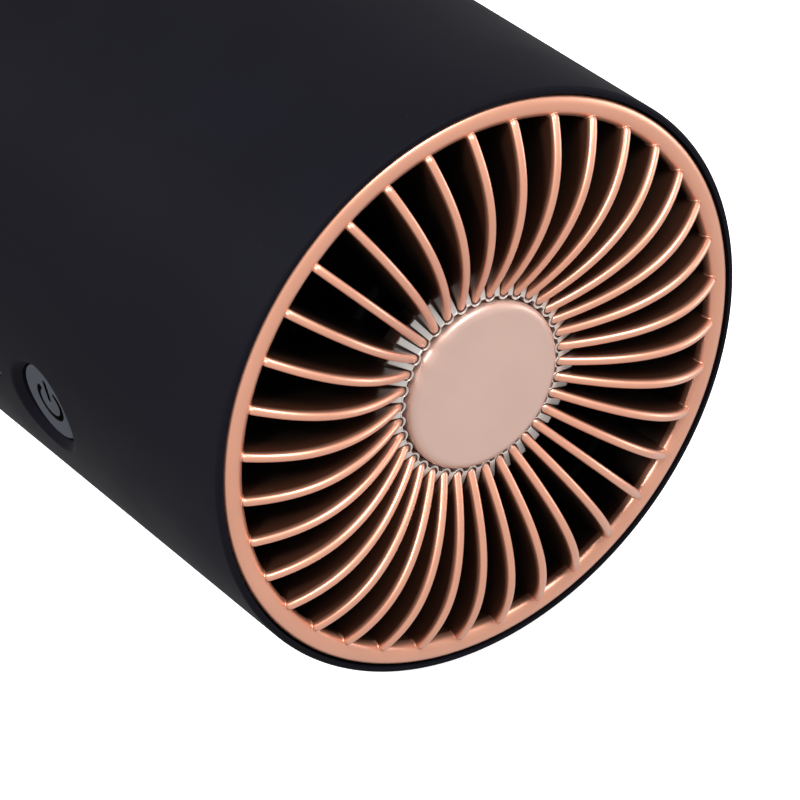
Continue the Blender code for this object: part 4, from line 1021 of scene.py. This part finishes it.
def footPatch(side):
    # a section with round lower edges and a top hollowed to the drum, carried along; ribs wave it below
    half, edge, lowest = foot["half"], foot["edge"], -drum["axisZ"]
    corner = np.linspace(0, np.pi / 2, 7)
    bottom = np.linspace(half - edge, -half + edge, 15)[1:-1]
    across = np.concatenate([half - edge + edge * np.cos(corner), bottom,
                             -half + edge - edge * np.sin(corner)])
    lift = np.concatenate([edge - edge * np.sin(corner), 0 * bottom, edge - edge * np.cos(corner)])
    top = np.linspace(-half, half, 16)
    x = foot["centre"] + np.concatenate([across, top])
    curve = -np.sqrt(foot["topRadius"] ** 2 - (foot["centre"] + top) ** 2)
    low = np.concatenate([lowest + lift, curve])
    under = np.concatenate([(lift < 0.01 * mm) * 1.0, 0 * top])
    depths = np.linspace(foot["start"], foot["end"], 245)
    wave = foot["ribDepth"] * (0.5 - 0.5 * np.cos(2 * np.pi * (depths - foot["start"]) / foot["ribs"]))
    z = low[None, :] + under[None, :] * wave[:, None]
    middle = low[under > 0][0] * 0.5 + curve.mean() * 0.5
    points = placed(side * x, depths[:, None], z)
    start, end = (placed(side * foot["centre"] + 0 * x[None, :], depth, middle)
                  for depth in (foot["start"], foot["end"]))
    return patch(np.concatenate([start, points, end]), ring=True)


for name, side, node in (("footLeft", -1, "foot_left"), ("footRight", 1, "foot_right")):
    makePiece(name, [footPatch(side)], "rubber", node)
print("feet made")


# finishes of the pieces that keep their own shape
carried = {
    "inside": ("fan_frame", "button_holder"),
    "rubber": ("grille_seal", "motor_lead", "switch_lead"),
    "steel": ("rotor_cup", "motor_shaft", "shaft_clip", "stator_core",
              *(f"frame_screw_{count}" for count in (1, 2, 3)),
              *(f"board_screw_{count}" for count in (1, 2, 3, 4))),
    "magnet": ("magnet_ring",), "bronze": ("bearing_front", "bearing_rear"),
    "board": ("motor_board", "switch_board", "control_board"), "white": ("switch_plunger", "status_light"),
    "chip": ("tact_switch", "driver_chip"), "smoked": ("light_window",), "can": ("capacitor",),
    "foam": ("intake_filter",),
}
for look, nodes in carried.items():
    for node in nodes:
        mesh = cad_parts[node].data
        mesh.materials.clear()
        mesh.materials.append(looks[look])
print("carried pieces finished")


view = {"towards": (0.49972, 0.68102, -0.53523), "up": (0.3166, 0.4315, 0.8447), "lens": 190.40,
        "from": (-350.89, -455.01, 361.64)}


def makeCamera():
    data = bpy.data.cameras.new("camera")
    data.lens = view["lens"]
    data.sensor_width = 36
    data.clip_start = 0.01
    data.clip_end = 20
    camera = bpy.data.objects.new("camera", data)
    bpy.context.scene.collection.objects.link(camera)
    forward, up = Vector(view["towards"]).normalized(), Vector(view["up"]).normalized()
    right = forward.cross(up).normalized()
    up = right.cross(forward)
    turned = Matrix((right, up, -forward)).transposed().to_4x4()
    place = Vector((0, drum["rimY"], drum["axisZ"])) + Vector(view["from"]) * mm
    camera.matrix_world = Matrix.Translation(place) @ turned
    bpy.context.scene.camera = camera


studio = {"world": 0.68, "floorGlow": 0.9, "floorReach": 6.0,
          "floor": {"colour": (0.92, 0.92, 0.92), "roughness": 0.9, "specular": 0.1}}
lamps = {
    "keyLight": {"place": (0.12, -0.62, 1.15), "aim": (0, -0.05, 0.05), "size": 0.60, "power": 12.0},
    "sideLight": {"place": (1.15, -0.45, 0.15), "aim": (0, -0.07, 0.05), "size": 0.60, "power": 2.8},
    "leftLight": {"place": (-0.95, -0.35, 0.85), "aim": (0, -0.07, 0.05), "size": 0.20, "power": 9.0},
    "backLight": {"place": (-0.90, 0.65, 0.60), "aim": (0, 0, 0.05), "size": 0.25, "power": 4.0},
}


def makeStudio():
    floorMesh = bpy.data.meshes.new("floor")
    reach = studio["floorReach"]
    floorMesh.from_pydata([(-reach, -reach, 0), (reach, -reach, 0), (reach, reach, 0), (-reach, reach, 0)],
                          [], [(0, 1, 2, 3)])
    floor = bpy.data.objects.new("floor", floorMesh)
    bpy.context.scene.collection.objects.link(floor)
    look, _, shader = newLook("paleFloor", studio["floor"])
    shader.inputs["Emission Color"].default_value = (1, 1, 1, 1)
    shader.inputs["Emission Strength"].default_value = studio["floorGlow"]
    floorMesh.materials.append(look)
    floor.visible_diffuse = False
    floor.visible_glossy = False
    world = bpy.data.worlds.new("studio")
    bpy.context.scene.world = world
    world.use_nodes = True
    sky = world.node_tree.nodes["Background"]
    sky.inputs["Color"].default_value = (1, 1, 1, 1)
    sky.inputs["Strength"].default_value = studio["world"]
    for name, lamp in lamps.items():
        data = bpy.data.lights.new(name, "AREA")
        data.shape = "DISK"
        data.size = lamp["size"]
        data.energy = lamp["power"]
        light = bpy.data.objects.new(name, data)
        bpy.context.scene.collection.objects.link(light)
        aim = Vector(lamp["aim"]) - Vector(lamp["place"])
        turned = aim.to_track_quat("-Z", "Y").to_matrix().to_4x4()
        light.matrix_world = Matrix.Translation(lamp["place"]) @ turned
    bpy.context.scene.view_settings.view_transform = "Standard"


makeCamera()
makeStudio()
print("studio made")
